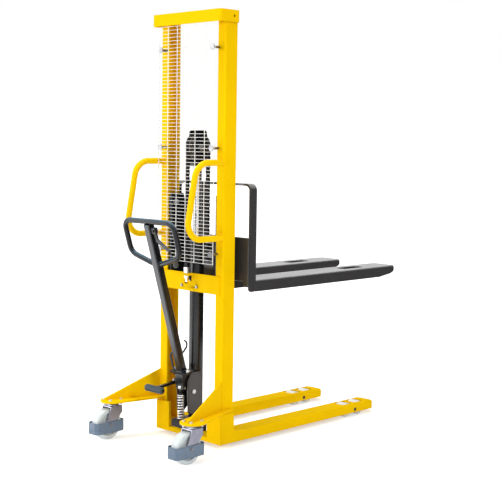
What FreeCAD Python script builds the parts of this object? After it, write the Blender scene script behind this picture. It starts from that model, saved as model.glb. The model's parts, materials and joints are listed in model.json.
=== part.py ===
"""A hand pallet stacker: two legs and a mast of two channels, a hand pump, and a chain-lifted fork carriage.

Millimetres, +Z up. Every size below is measured in the mast's own frame: X is 0 at the operator's face of the
mast and grows towards the fork tips, Y is 0 on the centre plane, Z is 0 on the floor. Each piece is then set
back by origin_x, so that the part's origin is on the floor under the middle of the whole machine.
"""
import FreeCAD, Part
import Sketcher
import math
import os
import re

Vector = FreeCAD.Vector

SIZES = {
    # Mast of two channels that open towards each other
    "mast_width": 455, "mast_depth": 77, "mast_top": 2017,
    "flange_width": 53, "flange_thickness": 8, "web_thickness": 7, "mast_corner_radius": 6,
    # Cap beam across the mast head
    "cap_width": 486, "cap_height": 56, "cap_overhang": 50, "cap_front_lip": 1, "cap_wall": 6,
    "cap_end_radius": 18, "cap_hole_diameter": 12,
    # Cross plate between the channels and the bracket for the chain's fixed end
    "cross_plate_bottom": 741, "cross_plate_height": 89, "cross_plate_width": 412,
    "cross_plate_thickness": 8, "square_hole_side": 26, "square_hole_rise": 62, "round_hole_diameter": 20,
    "round_hole_rise": 42, "round_hole_side_step": 30, "chain_bracket_width": 50,
    "chain_bracket_thickness": 10, "chain_bracket_rim": 21, "anchor_bolt_diameter": 14,
    "anchor_nut_height": 12, "anchor_clevis_height": 28, "anchor_tail": 10, "anchor_nut_rim": 5,
    "anchor_side_rim": 2,
    # Legs, their shoes round the mast feet, and the base plate between them
    "base_clearance": 21, "leg_height": 50, "leg_width": 94, "legs_overall": 467, "leg_reach": 1158,
    "leg_wall": 6, "leg_nose_length": 46, "leg_nose_drop": 10, "leg_tip_radius": 34, "shoe_plate": 14,
    "shoe_height": 96, "leg_slot_length": 82, "leg_slot_width": 68, "leg_slot_radius": 12,
    "base_plate_height": 22, "base_plate_wall": 8,
    # Load wheels, two behind each other in each leg
    "load_wheel_diameter": 74, "load_wheel_width": 62, "load_wheel_chamfer": 4, "load_axle_diameter": 20,
    "load_axle_inset": 117, "load_axle_spacing": 98, "bogie_plate": 5, "bogie_height": 32,
    "bogie_end": 17, "bogie_radius": 13, "bogie_pin_diameter": 20,
    # Outrigger arms: a flat plate with a round end, and an upright gusset
    "swivel_back": 246, "swivel_spread": 590, "arm_plate_thickness": 10, "arm_end_radius": 60,
    "arm_flange_inset": 8, "gusset_thickness": 8, "gusset_rise": 135, "gusset_toe_rise": 10,
    "gusset_toe_back": 288,
    # Swivel casters with toe guards
    "caster_height": 180, "caster_trail": 39, "caster_wheel_diameter": 150, "caster_wheel_width": 48,
    "caster_hub_width": 56, "caster_hub_diameter": 40, "caster_web_width": 28, "caster_rim_depth": 19,
    "caster_tread_chamfer": 5, "caster_axle_diameter": 12, "caster_axle_head_diameter": 20,
    "caster_axle_head_height": 6, "caster_leg_thickness": 4, "caster_leg_gap": 60, "caster_leg_top_width": 68,
    "caster_leg_eye_radius": 26, "caster_crown_thickness": 6, "caster_race_height": 5.5,
    "caster_race_diameter": 60, "caster_boss_height": 6, "caster_boss_diameter": 52,
    "caster_plate_length": 92, "caster_plate_width": 76, "caster_plate_thickness": 6, "kingpin_diameter": 18,
    "kingpin_nut_diameter": 27, "kingpin_nut_height": 7, "swivel_gap": 0.5, "caster_bolt_diameter": 10,
    "caster_bolt_span_x": 66, "caster_bolt_span_y": 50, "caster_bolt_head_diameter": 17,
    "caster_bolt_head_height": 7, "toe_guard_length": 180, "toe_guard_wall": 4, "toe_guard_bottom": 35,
    "toe_guard_height": 56, "toe_guard_chamfer": 14,
    # Grab handles: bent tubes on the operator's face of the mast
    "grab_tube_diameter": 29, "grab_tube_wall": 3, "grab_spread": 432, "grab_top": 1367, "grab_bottom": 1013,
    "grab_top_reach": 164, "grab_bottom_reach": 229, "grab_top_radius": 85, "grab_bottom_radius": 75,
    # Wire guard on stand-offs
    "guard_wire": 4, "guard_columns": 6, "guard_column_pitch": 66, "guard_top_gap": 3, "guard_row_pitch": 31.2,
    "guard_bottom": 886, "guard_standoff": 40, "standoff_diameter": 12, "standoff_pin_diameter": 6,
    "standoff_clip_diameter": 30, "standoff_clip_height": 3, "standoff_inset": 15, "low_standoff_rows": 1,
    "standoff_rows_under_middle": 1, "standoff_rows_under_top": 4,
    # Lift cylinder, ram and pump
    "cylinder_diameter": 70, "cylinder_bore": 56, "cylinder_top": 960, "gland_diameter": 76,
    "gland_flange_height": 16, "gland_spigot_height": 25, "ram_diameter": 40, "piston_height": 30,
    "fork_lowest": 88, "lift_head_room": 100, "ram_floor_gap": 5, "clamp_wall": 6, "clamp_height": 30,
    "clamp_rise": 25, "clamp_ear": 24, "clamp_bolt_diameter": 10, "clamp_bolt_head_diameter": 16,
    "clamp_bolt_head_height": 7, "pump_block_width": 84, "pump_block_rear": 86, "pump_block_front": 74,
    "pump_block_top": 114, "pump_block_bottom": 80, "pump_block_chamfer": 9, "pump_foot_back": 8,
    "barrel_diameter": 22, "barrel_height": 36, "barrel_floor": 6,
    # Chain, chain wheel and its yoke
    "chain_wheel_lowest": 1077, "chain_pitch_radius": 67, "chain_thickness": 14, "chain_width": 20,
    "chain_side_gap": 1, "chain_wheel_flange": 4, "chain_wheel_rim": 10, "chain_axle_diameter": 24,
    "chain_axle_head_diameter": 32, "chain_axle_head_height": 5, "yoke_length": 76, "yoke_cheek": 7,
    "yoke_side_gap": 1, "yoke_floor": 16, "yoke_drop": 90, "yoke_rise": 84, "yoke_bridge": 7,
    "yoke_corner_radius": 20,
    # Fork carriage
    "fork_top_rest": 806, "fork_height": 55, "fork_width": 160, "forks_overall": 550, "fork_wall": 6,
    "fork_reach": 1297, "fork_taper_length": 177, "fork_tip_rise": 21, "fork_tip_drop": 10,
    "fork_tip_length": 40, "fork_nose_solid": 70, "fork_nose_radius": 79, "fork_slot_inset": 332,
    "fork_slot_length": 165, "fork_slot_width": 62, "fork_slot_radius": 22, "carriage_gap": 41,
    "carriage_plate_thickness": 10, "carriage_plate_drop": 31, "carriage_plate_rise": 205,
    "leg_side_room": 8, "strip_width": 43, "strip_thickness": 10, "backrest_rise": 462,
    "backrest_radius": 34, "strip_heel_radius": 14, "backrest_bar_spread": 150, "backrest_bar_thickness": 8,
    "backrest_bar_rise": 124, "cheek_thickness": 10, "cheek_flange_gap": 6.5,
    "cheek_drop": 6, "cheek_rise": 404, "cheek_rear": 10, "cheek_cut_back": 28, "cheek_cut_down": 90,
    "chain_lug_rise": 84, "chain_lug_height": 14, "chain_lug_width": 44,
    # Carriage rollers in the channels
    "roller_gap": 0.35, "roller_width": 34, "roller_web_gap": 6.5, "roller_low_rise": 44, "roller_high_rise": 359,
    "roller_chamfer": 2, "roller_axle_diameter": 24, "roller_collar_diameter": 34, "roller_side_gap": 0.5,
    "roller_axle_tip": 3, "roller_head_diameter": 32, "roller_head_height": 6,
    # Pump handle: bracket, rocker, shaft, loop and hand lever
    "handle_pivot_back": 12, "handle_pivot_rise": 252, "handle_pin_diameter": 16,
    "handle_pin_head_diameter": 22, "handle_pin_head_height": 5, "bracket_thickness": 6,
    "bracket_front": 47, "bracket_top": 345, "bracket_knee": 190, "bracket_tip": 135, "bracket_tip_back": 13, "bracket_heel_back": 46,
    "bracket_heel_rise": 150, "bracket_waist_back": 50, "bracket_waist_rise": 225, "bracket_shoulder": 45,
    "bracket_crown_back": 28, "cam_back": 57, "cam_lift": 20, "cam_roller_diameter": 24,
    "cam_roller_width": 20, "cam_pin_diameter": 12, "cam_side_gap": 1.5, "cam_rest_gap": 0.6, "rocker_width": 56,
    "rocker_hub_radius": 13, "rocker_rise": 104, "handle_tilt": 16.5, "handle_foot_back": 55,
    "rocker_flange_width": 120, "rocker_flange_depth": 52, "rocker_flange_thickness": 10,
    "shaft_side": 38, "shaft_wall": 4, "shaft_corner_radius": 6, "loop_tube_diameter": 26,
    "loop_tube_wall": 2.5, "loop_top": 765, "loop_half_width": 178, "loop_hip_half_width": 177,
    "loop_hip_rise": 599, "loop_foot_rise": 548, "loop_top_radius": 46,
    "loop_hip_radius": 50, "lever_pivot_side": 34, "lever_pivot_rise": 722, "lever_thickness": 9,
    "lever_hub_radius": 9, "lever_bar_width": 14, "lever_tip_side": 110, "lever_tip_rise": 624,
    "lever_elbow_side": 38, "lever_elbow_rise": 674, "lever_pin_diameter": 8, "lever_ear_thickness": 5,
    "lever_side_gap": 0.4, "lever_ear_height": 26, "lever_ear_round": 11,
    # Pump plunger and its return spring
    "plunger_diameter": 16, "plunger_head_diameter": 22, "plunger_head_height": 12,
    "plunger_collar_diameter": 36, "plunger_collar_height": 8, "plunger_collar_rise": 238, "plunger_depth": 20,
    "spring_wire": 6, "spring_mean_diameter": 31, "spring_turns": 9, "spring_seat_gap": 0.3,
    # Foot pedal
    "pedal_side": 72, "pedal_pivot_back": 22, "pedal_pivot_rise": 287, "pedal_pin_diameter": 14,
    "pedal_hub_diameter": 28, "pedal_hub_width": 24, "pedal_bar": 14, "pedal_reach": 165, "pedal_rise": 267,
    "pedal_core_diameter": 16, "pedal_rubber_diameter": 34, "pedal_rubber_length": 126, "pedal_rubber_end": 6,
    "pedal_cap_diameter": 20, "pedal_cap_height": 8,
    # Fits
    "running_gap": 0.05, "loose_gap": 0.3,
}

DERIVED = {
    "leg_top": "base_clearance + leg_height",
    "cap_top": "mast_top + cap_height",
    "cross_plate_top": "cross_plate_bottom + cross_plate_height",
    "base_plate_top": "base_clearance + base_plate_height",
    "shoe_top": "leg_top + shoe_height",
    "leg_middle": "legs_overall / 2 - leg_width / 2",
    "leg_inner": "legs_overall / 2 - leg_width",
    "load_axle_reach": "leg_reach - load_axle_inset",
    "bogie_pin_reach": "load_axle_reach - load_axle_spacing / 2",
    "bogie_inner": "load_wheel_width / 2 + loose_gap",
    "bogie_outer": "bogie_inner + bogie_plate",
    "swivel_side": "swivel_spread / 2",
    "arm_top": "caster_height + arm_plate_thickness",
    "arm_root_side": "mast_width / 2",
    "arm_inner_side": "mast_width / 2 - flange_width + arm_flange_inset",
    "gusset_root_side": "mast_width / 2 - mast_corner_radius",
    "gusset_toe_side": "gusset_root_side + (swivel_side - gusset_root_side) * gusset_toe_back / swivel_back",
    "caster_axle_rise": "caster_wheel_diameter / 2",
    "caster_plate_floor": "caster_height - caster_plate_thickness",
    "caster_crown_top": "caster_plate_floor - caster_boss_height - swivel_gap - caster_race_height",
    "caster_crown_floor": "caster_crown_top - caster_crown_thickness",
    "caster_leg_outer": "caster_leg_gap / 2 + caster_leg_thickness",
    "toe_guard_outer": "caster_leg_outer + toe_guard_wall",
    "toe_guard_rear": "swivel_back + caster_trail + toe_guard_length / 2",
    "origin_x": "(fork_reach - toe_guard_rear) / 2",
    "ram_x": "mast_depth / 2",
    "ram_lower_travel": "(fork_top_rest - fork_lowest) / 2",
    "chain_wheel_rise": "chain_wheel_lowest + ram_lower_travel",
    "ram_upper_travel": "mast_top - lift_head_room - chain_wheel_rise - yoke_rise",
    "ram_bottom": "pump_block_top + ram_lower_travel + ram_floor_gap",
    "yoke_bottom": "chain_wheel_rise - yoke_drop",
    "chain_back_x": "ram_x - chain_pitch_radius",
    "chain_front_x": "ram_x + chain_pitch_radius",
    "chain_inner_radius": "chain_pitch_radius - chain_thickness / 2",
    "chain_wheel_half": "chain_width / 2 + chain_side_gap + chain_wheel_flange",
    "anchor_top": "cross_plate_top + anchor_clevis_height",
    "fork_bottom": "fork_top_rest - fork_height",
    "fork_taper_start": "fork_reach - fork_taper_length",
    "fork_tip_bottom": "fork_bottom + fork_tip_rise",
    "fork_tip_top": "fork_top_rest - fork_tip_drop",
    "fork_slot_place": "fork_reach - fork_slot_inset",
    "carriage_plate_bottom": "fork_top_rest - carriage_plate_drop",
    "carriage_plate_top": "fork_top_rest + carriage_plate_rise",
    "backrest_top": "fork_top_rest + backrest_rise",
    "backrest_bar_bottom": "fork_top_rest + backrest_bar_rise",
    "cheek_bottom": "fork_top_rest - cheek_drop",
    "cheek_top": "fork_top_rest + cheek_rise",
    "chain_lug_top": "fork_top_rest + chain_lug_rise",
    "roller_low": "fork_top_rest + roller_low_rise",
    "roller_high": "fork_top_rest + roller_high_rise",
    "fork_side": "forks_overall / 2 - fork_width / 2",
    "fork_inner_side": "forks_overall / 2 - fork_width",
    "carriage_back": "mast_depth + carriage_gap",
    "carriage_front": "carriage_back + carriage_plate_thickness",
    "strip_front": "carriage_front + strip_width",
    "strip_inner_side": "forks_overall / 2 - strip_thickness",
    "flange_inner_side": "mast_width / 2 - flange_width",
    "cheek_outer_side": "flange_inner_side - cheek_flange_gap",
    "roller_diameter": "mast_depth - 2 * flange_thickness - 2 * roller_gap",
    "roller_outer_side": "mast_width / 2 - web_thickness - roller_web_gap",
    "roller_inner_side": "roller_outer_side - roller_width",
    "guard_rows": "floor((mast_top - guard_top_gap - guard_wire - guard_bottom) / guard_row_pitch)",
    "mid_standoff_rows": "floor(guard_rows / 2) - standoff_rows_under_middle",
    "high_standoff_rows": "guard_rows - standoff_rows_under_top",
    "guard_half_width": "guard_columns * guard_column_pitch / 2",
    "standoff_side": "guard_half_width - standoff_inset",
    "bracket_inner": "cylinder_diameter / 2",
    "bracket_outer": "cylinder_diameter / 2 + bracket_thickness",
    "cam_rise": "handle_pivot_rise + cam_lift",
    "handle_foot_rise": "handle_pivot_rise + rocker_rise",
    "plunger_top": "cam_rise - cam_roller_diameter / 2 - cam_rest_gap",
    "barrel_top": "pump_block_top + barrel_height",
    "shaft_top": "loop_top - loop_tube_diameter / 2",
    "clamp_middle": "cross_plate_bottom + clamp_rise",
    "clamp_bolt_side": "cylinder_diameter / 2 + clamp_wall + clamp_ear / 2",
    "arm_outer_run": "sqrt((swivel_back + mast_depth) ^ 2 + (swivel_side - arm_root_side) ^ 2)",
    "arm_outer_tangent": "sqrt(arm_outer_run ^ 2 - arm_end_radius ^ 2)",
    "arm_outer_turn": "atan((swivel_side - arm_root_side) / (swivel_back + mast_depth))"
                      " + asin(arm_end_radius / arm_outer_run)",
    "arm_inner_run": "sqrt(swivel_back ^ 2 + (swivel_side - arm_inner_side) ^ 2)",
    "arm_inner_tangent": "sqrt(arm_inner_run ^ 2 - arm_end_radius ^ 2)",
    "arm_inner_turn": "atan((swivel_side - arm_inner_side) / swivel_back)"
                      " - asin(arm_end_radius / arm_inner_run)",
}

doc = FreeCAD.newDocument("pallet_stacker")
sheet = doc.addObject("Spreadsheet::Sheet", "sizes")
nodes = []


def fill_sheet():
    """Write every size to the sheet, one alias per cell, the driving ones first."""
    row = 0
    for table, mark in ((SIZES, ""), (DERIVED, "=")):
        for name, entry in table.items():
            row += 1
            sheet.set("A%d" % row, name)
            sheet.set("B%d" % row, mark + str(entry))
            sheet.setAlias("B%d" % row, name)
    doc.recompute()


def bound(text):
    """Point each size name of an expression at the sheet: every size name has an underscore."""
    return re.sub(r"[a-z]+(?:_[a-z]+)+", lambda found: "sizes." + found.group(0), str(text))


def value(text):
    """The number that an expression of size names comes to."""
    return float(sheet.evalExpression(bound(text)))


def place(piece, x="0", y="0", z="0"):
    """Tie a piece's place, given in the mast's frame, to the sheet."""
    piece.setExpression("Placement.Base.x", bound("%s - origin_x" % x))
    piece.setExpression("Placement.Base.y", bound(y))
    piece.setExpression("Placement.Base.z", bound(z))


def tilt(piece):
    """Lean a piece of the handle, drawn upright on the foot of its shaft, towards the operator."""
    lean = FreeCAD.Rotation(Vector(0, -1, 0), value("handle_tilt"))
    piece.Placement = FreeCAD.Placement(Vector(), lean)
    piece.setExpression("Placement.Rotation.Angle", bound("handle_tilt"))
    place(piece, "-handle_foot_back", "0", "handle_foot_rise")


def new_body(label, x="0", y="0", z="0"):
    """An empty body with its own place."""
    body = doc.addObject("PartDesign::Body", label)
    body.Label = label
    place(body, x, y, z)
    return body


def kept(piece):
    """Note a finished piece as one of the part's nodes."""
    nodes.append(piece)
    return piece


PLANES = {"X": "YZ_Plane", "Y": "XZ_Plane", "Z": "XY_Plane"}


def new_sketch(body, axis, at):
    """A sketch square to one of the body's axes, at a place along it. The Y plane faces towards -Y."""
    sketch = body.newObject("Sketcher::SketchObject", body.Label + "_sketch")
    plane = next(item for item in body.Origin.OriginFeatures if item.Role == PLANES[axis])
    sketch.AttachmentSupport = [(plane, "")]
    sketch.MapMode = "FlatFace"
    sign = "-" if axis == "Y" else ""
    sketch.setExpression("AttachmentOffset.Base.z", bound("%s(%s)" % (sign, at)))
    return sketch


def pin_point(sketch, geometry, position, point):
    """Hold a sketch point at a pair of size expressions."""
    for kind, text in (("DistanceX", point[0]), ("DistanceY", point[1])):
        rule = Sketcher.Constraint(kind, -1, 1, geometry, position, value(text))
        index = sketch.addConstraint(rule)
        sketch.setExpression("Constraints[%d]" % index, bound(text))


def polygon(*points):
    """A drawing of one closed outline, corner by corner."""
    def draw(sketch):
        corners = [Vector(value(x), value(y), 0) for x, y in points]
        first = sketch.GeometryCount
        count = len(corners)
        for step in range(count):
            sketch.addGeometry(Part.LineSegment(corners[step], corners[(step + 1) % count]))
        for step in range(count):
            following = first + (step + 1) % count
            sketch.addConstraint(Sketcher.Constraint("Coincident", first + step, 2, following, 1))
        for step, point in enumerate(points):
            pin_point(sketch, first + step, 1, point)
    return draw


def rectangle(left, right, low, high):
    """A drawing of one rectangle."""
    return polygon((left, low), (right, low), (right, high), (left, high))


def circles(diameter, *centres):
    """A drawing of equal circles."""
    def draw(sketch):
        for centre in centres:
            middle = Vector(value(centre[0]), value(centre[1]), 0)
            ring = Part.Circle(middle, Vector(0, 0, 1), value(diameter) / 2)
            index = sketch.addGeometry(ring)
            pin_point(sketch, index, 3, centre)
            rule = sketch.addConstraint(Sketcher.Constraint("Diameter", index, value(diameter)))
            sketch.setExpression("Constraints[%d]" % rule, bound(diameter))
    return draw


def together(*drawings):
    """Several drawings in one sketch."""
    def draw(sketch):
        for drawing in drawings:
            drawing(sketch)
    return draw


def pad(body, axis, low, high, drawing):
    """Add a prism between two places along an axis."""
    sketch = new_sketch(body, axis, high if axis == "Y" else low)
    drawing(sketch)
    feature = body.newObject("PartDesign::Pad", body.Label + "_pad")
    feature.Profile = sketch
    feature.setExpression("Length", bound("(%s) - (%s)" % (high, low)))
    doc.recompute()


def cut(body, axis, low, high, drawing):
    """Remove a prism between two places along an axis, and make sure that it met the piece."""
    before = body.Shape.Volume
    sketch = new_sketch(body, axis, low if axis == "Y" else high)
    drawing(sketch)
    feature = body.newObject("PartDesign::Pocket", body.Label + "_pocket")
    feature.Profile = sketch
    feature.setExpression("Length", bound("(%s) - (%s)" % (high, low)))
    doc.recompute()
    if body.Shape.Volume >= before:
        raise RuntimeError("a cut in %s removed nothing" % body.Label)


def softened(body, axis, size, *corners):
    """Round the straight edges along an axis that pass through the named corners."""
    kept_axes = [step for step in range(3) if step != "XYZ".index(axis)]
    wanted = [[value(number) for number in corner] for corner in corners]
    base = body.Tip
    names = []
    for number, edge in enumerate(base.Shape.Edges, 1):
        ends = [[vertex.Point[step] for step in kept_axes] for vertex in edge.Vertexes]
        for corner in wanted:
            if len(ends) == 2 and all(math.dist(end, corner) < 1e-4 for end in ends):
                names.append("Edge%d" % number)
    feature = body.newObject("PartDesign::Fillet", body.Label + "_round")
    feature.Base = (base, names)
    feature.setExpression("Radius", bound(size))
    doc.recompute()


def turn(body, axis, *points):
    """Add a solid of revolution about one of the body's axes from points (radius, place along the axis)."""
    sketch = new_sketch(body, "Y" if axis == "Z" else "Z", "0")
    if axis == "X":
        points = [(along, radius) for radius, along in points]
    polygon(*points)(sketch)
    feature = body.newObject("PartDesign::Revolution", body.Label + "_turn")
    feature.Profile = sketch
    feature.ReferenceAxis = (sketch, ["H_Axis" if axis == "X" else "V_Axis"])
    feature.Angle = 360
    doc.recompute()


def mirrored(source, label):
    """The same piece on the other side of the centre plane."""
    twin = doc.addObject("Part::Mirroring", label)
    twin.Label = label
    twin.Source = source
    twin.Normal = Vector(0, 1, 0)
    doc.recompute()
    return twin


def group(label, *shapes):
    """Equal pieces of one kind, kept as separate solids of one node."""
    piece = doc.addObject("Part::Feature", label)
    piece.Label = label
    piece.Shape = Part.makeCompound(list(shapes))
    return piece


def both_sides(shape):
    """A shape and its mirror image across the centre plane."""
    return [shape, shape.mirror(Vector(0, 0, 0), Vector(0, 1, 0))]


def bent_path(body, axis, at, corners, radii):
    """A path of straight runs joined by arcs, through corners given as pairs of expressions."""
    path = new_sketch(body, axis, at)
    spots = [Vector(value(x), value(y), 0) for x, y in corners]
    heads = [(after - before).normalize() for before, after in zip(spots, spots[1:])]
    setbacks = [0.0]
    for before, after, radius in zip(heads, heads[1:], radii):
        setbacks.append(value(radius) * math.tan(before.getAngle(after) / 2))
    setbacks.append(0.0)
    for step, head in enumerate(heads):
        start = spots[step] + head * setbacks[step]
        end = spots[step + 1] - head * setbacks[step + 1]
        path.addGeometry(Part.LineSegment(start, end))
    for step, text in enumerate(radii):
        before, after, radius = heads[step], heads[step + 1], value(text)
        leftward = before.cross(after).z > 0
        entry = spots[step + 1] - before * setbacks[step + 1]
        leave = spots[step + 1] + after * setbacks[step + 1]
        centre = entry + Vector(-before.y, before.x, 0) * (radius if leftward else -radius)
        ends = (entry, leave) if leftward else (leave, entry)
        angles = [math.atan2(end.y - centre.y, end.x - centre.x) for end in ends]
        if angles[1] < angles[0]:
            angles[1] += 2 * math.pi
        ring = Part.Circle(centre, Vector(0, 0, 1), radius)
        arc = path.addGeometry(Part.ArcOfCircle(ring, angles[0], angles[1]))
        first, second = (1, 2) if leftward else (2, 1)
        path.addConstraint(Sketcher.Constraint("Tangent", step, 2, arc, first))
        path.addConstraint(Sketcher.Constraint("Tangent", step + 1, 1, arc, second))
        rule = path.addConstraint(Sketcher.Constraint("Radius", arc, radius))
        path.setExpression("Constraints[%d]" % rule, bound(text))
        spot = path.addGeometry(Part.Point(spots[step + 1]), True)
        pin_point(path, spot, 1, corners[step + 1])
        path.addConstraint(Sketcher.Constraint("PointOnObject", spot, 1, step))
        path.addConstraint(Sketcher.Constraint("PointOnObject", spot, 1, step + 1))
    pin_point(path, 0, 1, corners[0])
    pin_point(path, len(heads) - 1, 2, corners[-1])
    return path


def sweep(body, path, profile_axis, profile_at, drawing):
    """Add a bar or tube whose section, drawn square to an axis, follows a path."""
    section = new_sketch(body, profile_axis, profile_at)
    drawing(section)
    feature = body.newObject("PartDesign::AdditivePipe", body.Label + "_pipe")
    feature.Profile = section
    feature.Spine = (path, ["Edge%d" % (step + 1) for step in range(len(path.Shape.Edges))])
    doc.recompute()
    return feature


fill_sheet()


# Mast, cap and cross plate

def mast_channels():
    """Two C-section channels, open towards each other, that guide the carriage rollers."""
    body = new_body("mast_channel_right")
    web, lip = "-mast_width / 2", "-flange_inner_side"
    pad(body, "Z", "leg_top", "cap_top - cap_wall", polygon(
        ("0", web), ("mast_depth", web), ("mast_depth", lip),
        ("mast_depth - flange_thickness", lip), ("mast_depth - flange_thickness", web + " + web_thickness"),
        ("flange_thickness", web + " + web_thickness"), ("flange_thickness", lip), ("0", lip)))
    softened(body, "Z", "mast_corner_radius", ("0", web), ("mast_depth", web))
    kept(body)
    kept(mirrored(body, "mast_channel_left"))


def top_cap():
    """A pressed beam over the mast head, open underneath and, between its ends, at the front."""
    body = kept(new_body("top_cap"))
    back, front, side = "-cap_overhang", "mast_depth + cap_front_lip", "cap_width / 2"
    pad(body, "Z", "mast_top", "cap_top", rectangle(back, front, "-" + side, side))
    softened(body, "Z", "cap_end_radius",
             (back, "-" + side), (back, side), (front, "-" + side), (front, side))
    cut(body, "Z", "mast_top", "cap_top - cap_wall", rectangle(
        back + " + cap_wall", front + " - cap_wall", "cap_wall - " + side, side + " - cap_wall"))
    open_side = "(mast_width / 2 + loose_gap)"
    cut(body, "X", "mast_depth - cap_wall", front, rectangle(
        "-" + open_side, open_side, "mast_top", "cap_top - cap_wall"))
    cut(body, "Y", "-cap_width", "cap_width",
        circles("cap_hole_diameter", ("ram_x", "mast_top + cap_height / 2")))


def cross_plate():
    """The plate across the operator's face of the mast, with the bracket for the chain's fixed end."""
    body = kept(new_body("cross_plate"))
    back, half = "-cross_plate_thickness", "cross_plate_width / 2"
    pad(body, "X", back, "0", rectangle("-" + half, half, "cross_plate_bottom", "cross_plate_top"))
    pad(body, "Z", "cross_plate_top - chain_bracket_thickness", "cross_plate_top", rectangle(
        "chain_back_x - chain_bracket_rim", "-cross_plate_thickness / 2",
        "-chain_bracket_width / 2", "chain_bracket_width / 2"))
    cut(body, "Z", "cross_plate_bottom", "cross_plate_top",
        circles("anchor_bolt_diameter + 2 * running_gap", ("chain_back_x", "0")))
    hole_rise = "cross_plate_bottom + square_hole_rise"
    cut(body, "X", back, "0", together(
        rectangle("-square_hole_side / 2", "square_hole_side / 2",
                  hole_rise + " - square_hole_side / 2", hole_rise + " + square_hole_side / 2"),
        circles("round_hole_diameter", ("round_hole_side_step", "cross_plate_bottom + round_hole_rise")),
        circles("clamp_bolt_diameter + 2 * running_gap",
                ("-clamp_bolt_side", "clamp_middle"), ("clamp_bolt_side", "clamp_middle"))))


def chain_anchor_bolt():
    """The threaded anchor that holds the chain's fixed end to the cross plate."""
    body = kept(new_body("chain_anchor_bolt", "chain_back_x"))
    shelf = "cross_plate_top - chain_bracket_thickness"
    radius, nut = "anchor_bolt_diameter / 2", "anchor_bolt_diameter / 2 + anchor_nut_rim"
    turn(body, "Z", ("0", shelf + " - anchor_nut_height - anchor_tail"),
         (radius, shelf + " - anchor_nut_height - anchor_tail"), (radius, shelf + " - anchor_nut_height"),
         (nut, shelf + " - anchor_nut_height"), (nut, shelf), (radius, shelf), (radius, "cross_plate_top"),
         ("0", "cross_plate_top"))
    pad(body, "Z", "cross_plate_top", "anchor_top", rectangle(
        "-chain_thickness / 2", "chain_thickness / 2",
        "-chain_width / 2 - anchor_side_rim", "chain_width / 2 + anchor_side_rim"))


# Legs, base and load wheels

def legs():
    """Straddle legs: hollow beams open underneath, with a shoe round the foot of each channel."""
    body = new_body("leg_right")
    outer, inner = "-legs_overall / 2", "-leg_inner"
    pad(body, "Z", "base_clearance", "leg_top", rectangle("-shoe_plate", "leg_reach", outer, inner))
    softened(body, "Z", "leg_tip_radius", ("leg_reach", outer), ("leg_reach", inner))
    cut(body, "Y", outer, inner, polygon(
        ("leg_reach - leg_nose_length", "leg_top"), ("leg_reach", "leg_top - leg_nose_drop"),
        ("leg_reach", "leg_top")))
    cut(body, "Z", "base_clearance", "leg_top - leg_wall", rectangle(
        "mast_depth", "leg_reach - leg_nose_length - leg_wall", outer + " + leg_wall", inner + " - leg_wall"))
    near, far = "-leg_middle - leg_slot_width / 2", "-leg_middle + leg_slot_width / 2"
    for axle in ("load_axle_reach", "load_axle_reach - load_axle_spacing"):
        back, front = axle + " - leg_slot_length / 2", axle + " + leg_slot_length / 2"
        cut(body, "Z", "leg_top - leg_wall", "leg_top", rectangle(back, front, near, far))
        softened(body, "Z", "leg_slot_radius", (back, near), (back, far), (front, near), (front, far))
    cut(body, "Y", outer, inner,
        circles("bogie_pin_diameter + 2 * running_gap", ("bogie_pin_reach", "load_wheel_diameter / 2")))
    pad(body, "X", "-shoe_plate", "0", rectangle(outer, inner, "leg_top", "shoe_top"))
    pad(body, "Y", outer, "-mast_width / 2", rectangle("-shoe_plate", "mast_depth", "leg_top", "shoe_top"))
    kept(body)
    kept(mirrored(body, "leg_left"))


def base_plate():
    """A folded plate between the legs, under the pump."""
    body = kept(new_body("base_plate"))
    floor, under = "base_clearance", "base_plate_top - base_plate_wall"
    pad(body, "Y", "-leg_inner", "leg_inner", polygon(
        ("-shoe_plate", floor), ("base_plate_wall - shoe_plate", floor),
        ("base_plate_wall - shoe_plate", under),
        ("mast_depth - base_plate_wall", under), ("mast_depth - base_plate_wall", floor),
        ("mast_depth", floor), ("mast_depth", "base_plate_top"), ("-shoe_plate", "base_plate_top")))


def load_wheels():
    """Two rollers behind each other in each leg, in a welded bogie that hangs on a pin through the leg."""
    radius, half = "load_wheel_diameter / 2", "load_wheel_width / 2"
    bore = "load_axle_diameter / 2 + running_gap"
    for name, reach in (("front", "load_axle_reach"), ("rear", "load_axle_reach - load_axle_spacing")):
        wheel = new_body("load_wheel_%s_right" % name, reach, "-leg_middle", radius)
        turn(wheel, "Y", (bore, "-" + half), (radius + " - load_wheel_chamfer", "-" + half),
             (radius, "load_wheel_chamfer - " + half), (radius, half + " - load_wheel_chamfer"),
             (radius + " - load_wheel_chamfer", half), (bore, half))
        kept(wheel)
        kept(mirrored(wheel, "load_wheel_%s_left" % name))
    bogie = new_body("load_bogie", "bogie_pin_reach", "-leg_middle", radius)
    ahead, rise = "load_axle_spacing / 2 + bogie_end", "bogie_height / 2"
    behind, drop = "-load_axle_spacing / 2 - bogie_end", "-bogie_height / 2"
    plate = rectangle(behind, ahead, drop, rise)
    pad(bogie, "Y", "bogie_inner", "bogie_outer", plate)
    pad(bogie, "Y", "-bogie_outer", "bogie_outer", circles(
        "load_axle_diameter", ("load_axle_spacing / 2", "0"), ("-load_axle_spacing / 2", "0")))
    pad(bogie, "Y", "-bogie_outer", "-bogie_inner", plate)
    softened(bogie, "Y", "bogie_radius", (behind, drop), (behind, rise), (ahead, drop), (ahead, rise))
    cut(bogie, "Y", "-bogie_outer", "bogie_outer", circles("bogie_pin_diameter + 2 * running_gap", ("0", "0")))
    pin = new_body("load_pin", "bogie_pin_reach", "-leg_middle", radius)
    turn(pin, "Y", ("0", "-leg_width / 2"), ("bogie_pin_diameter / 2", "-leg_width / 2"),
         ("bogie_pin_diameter / 2", "leg_width / 2"), ("0", "leg_width / 2"))
    kept(group("load_wheel_axles", *both_sides(bogie.Shape), *both_sides(pin.Shape)))


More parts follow.
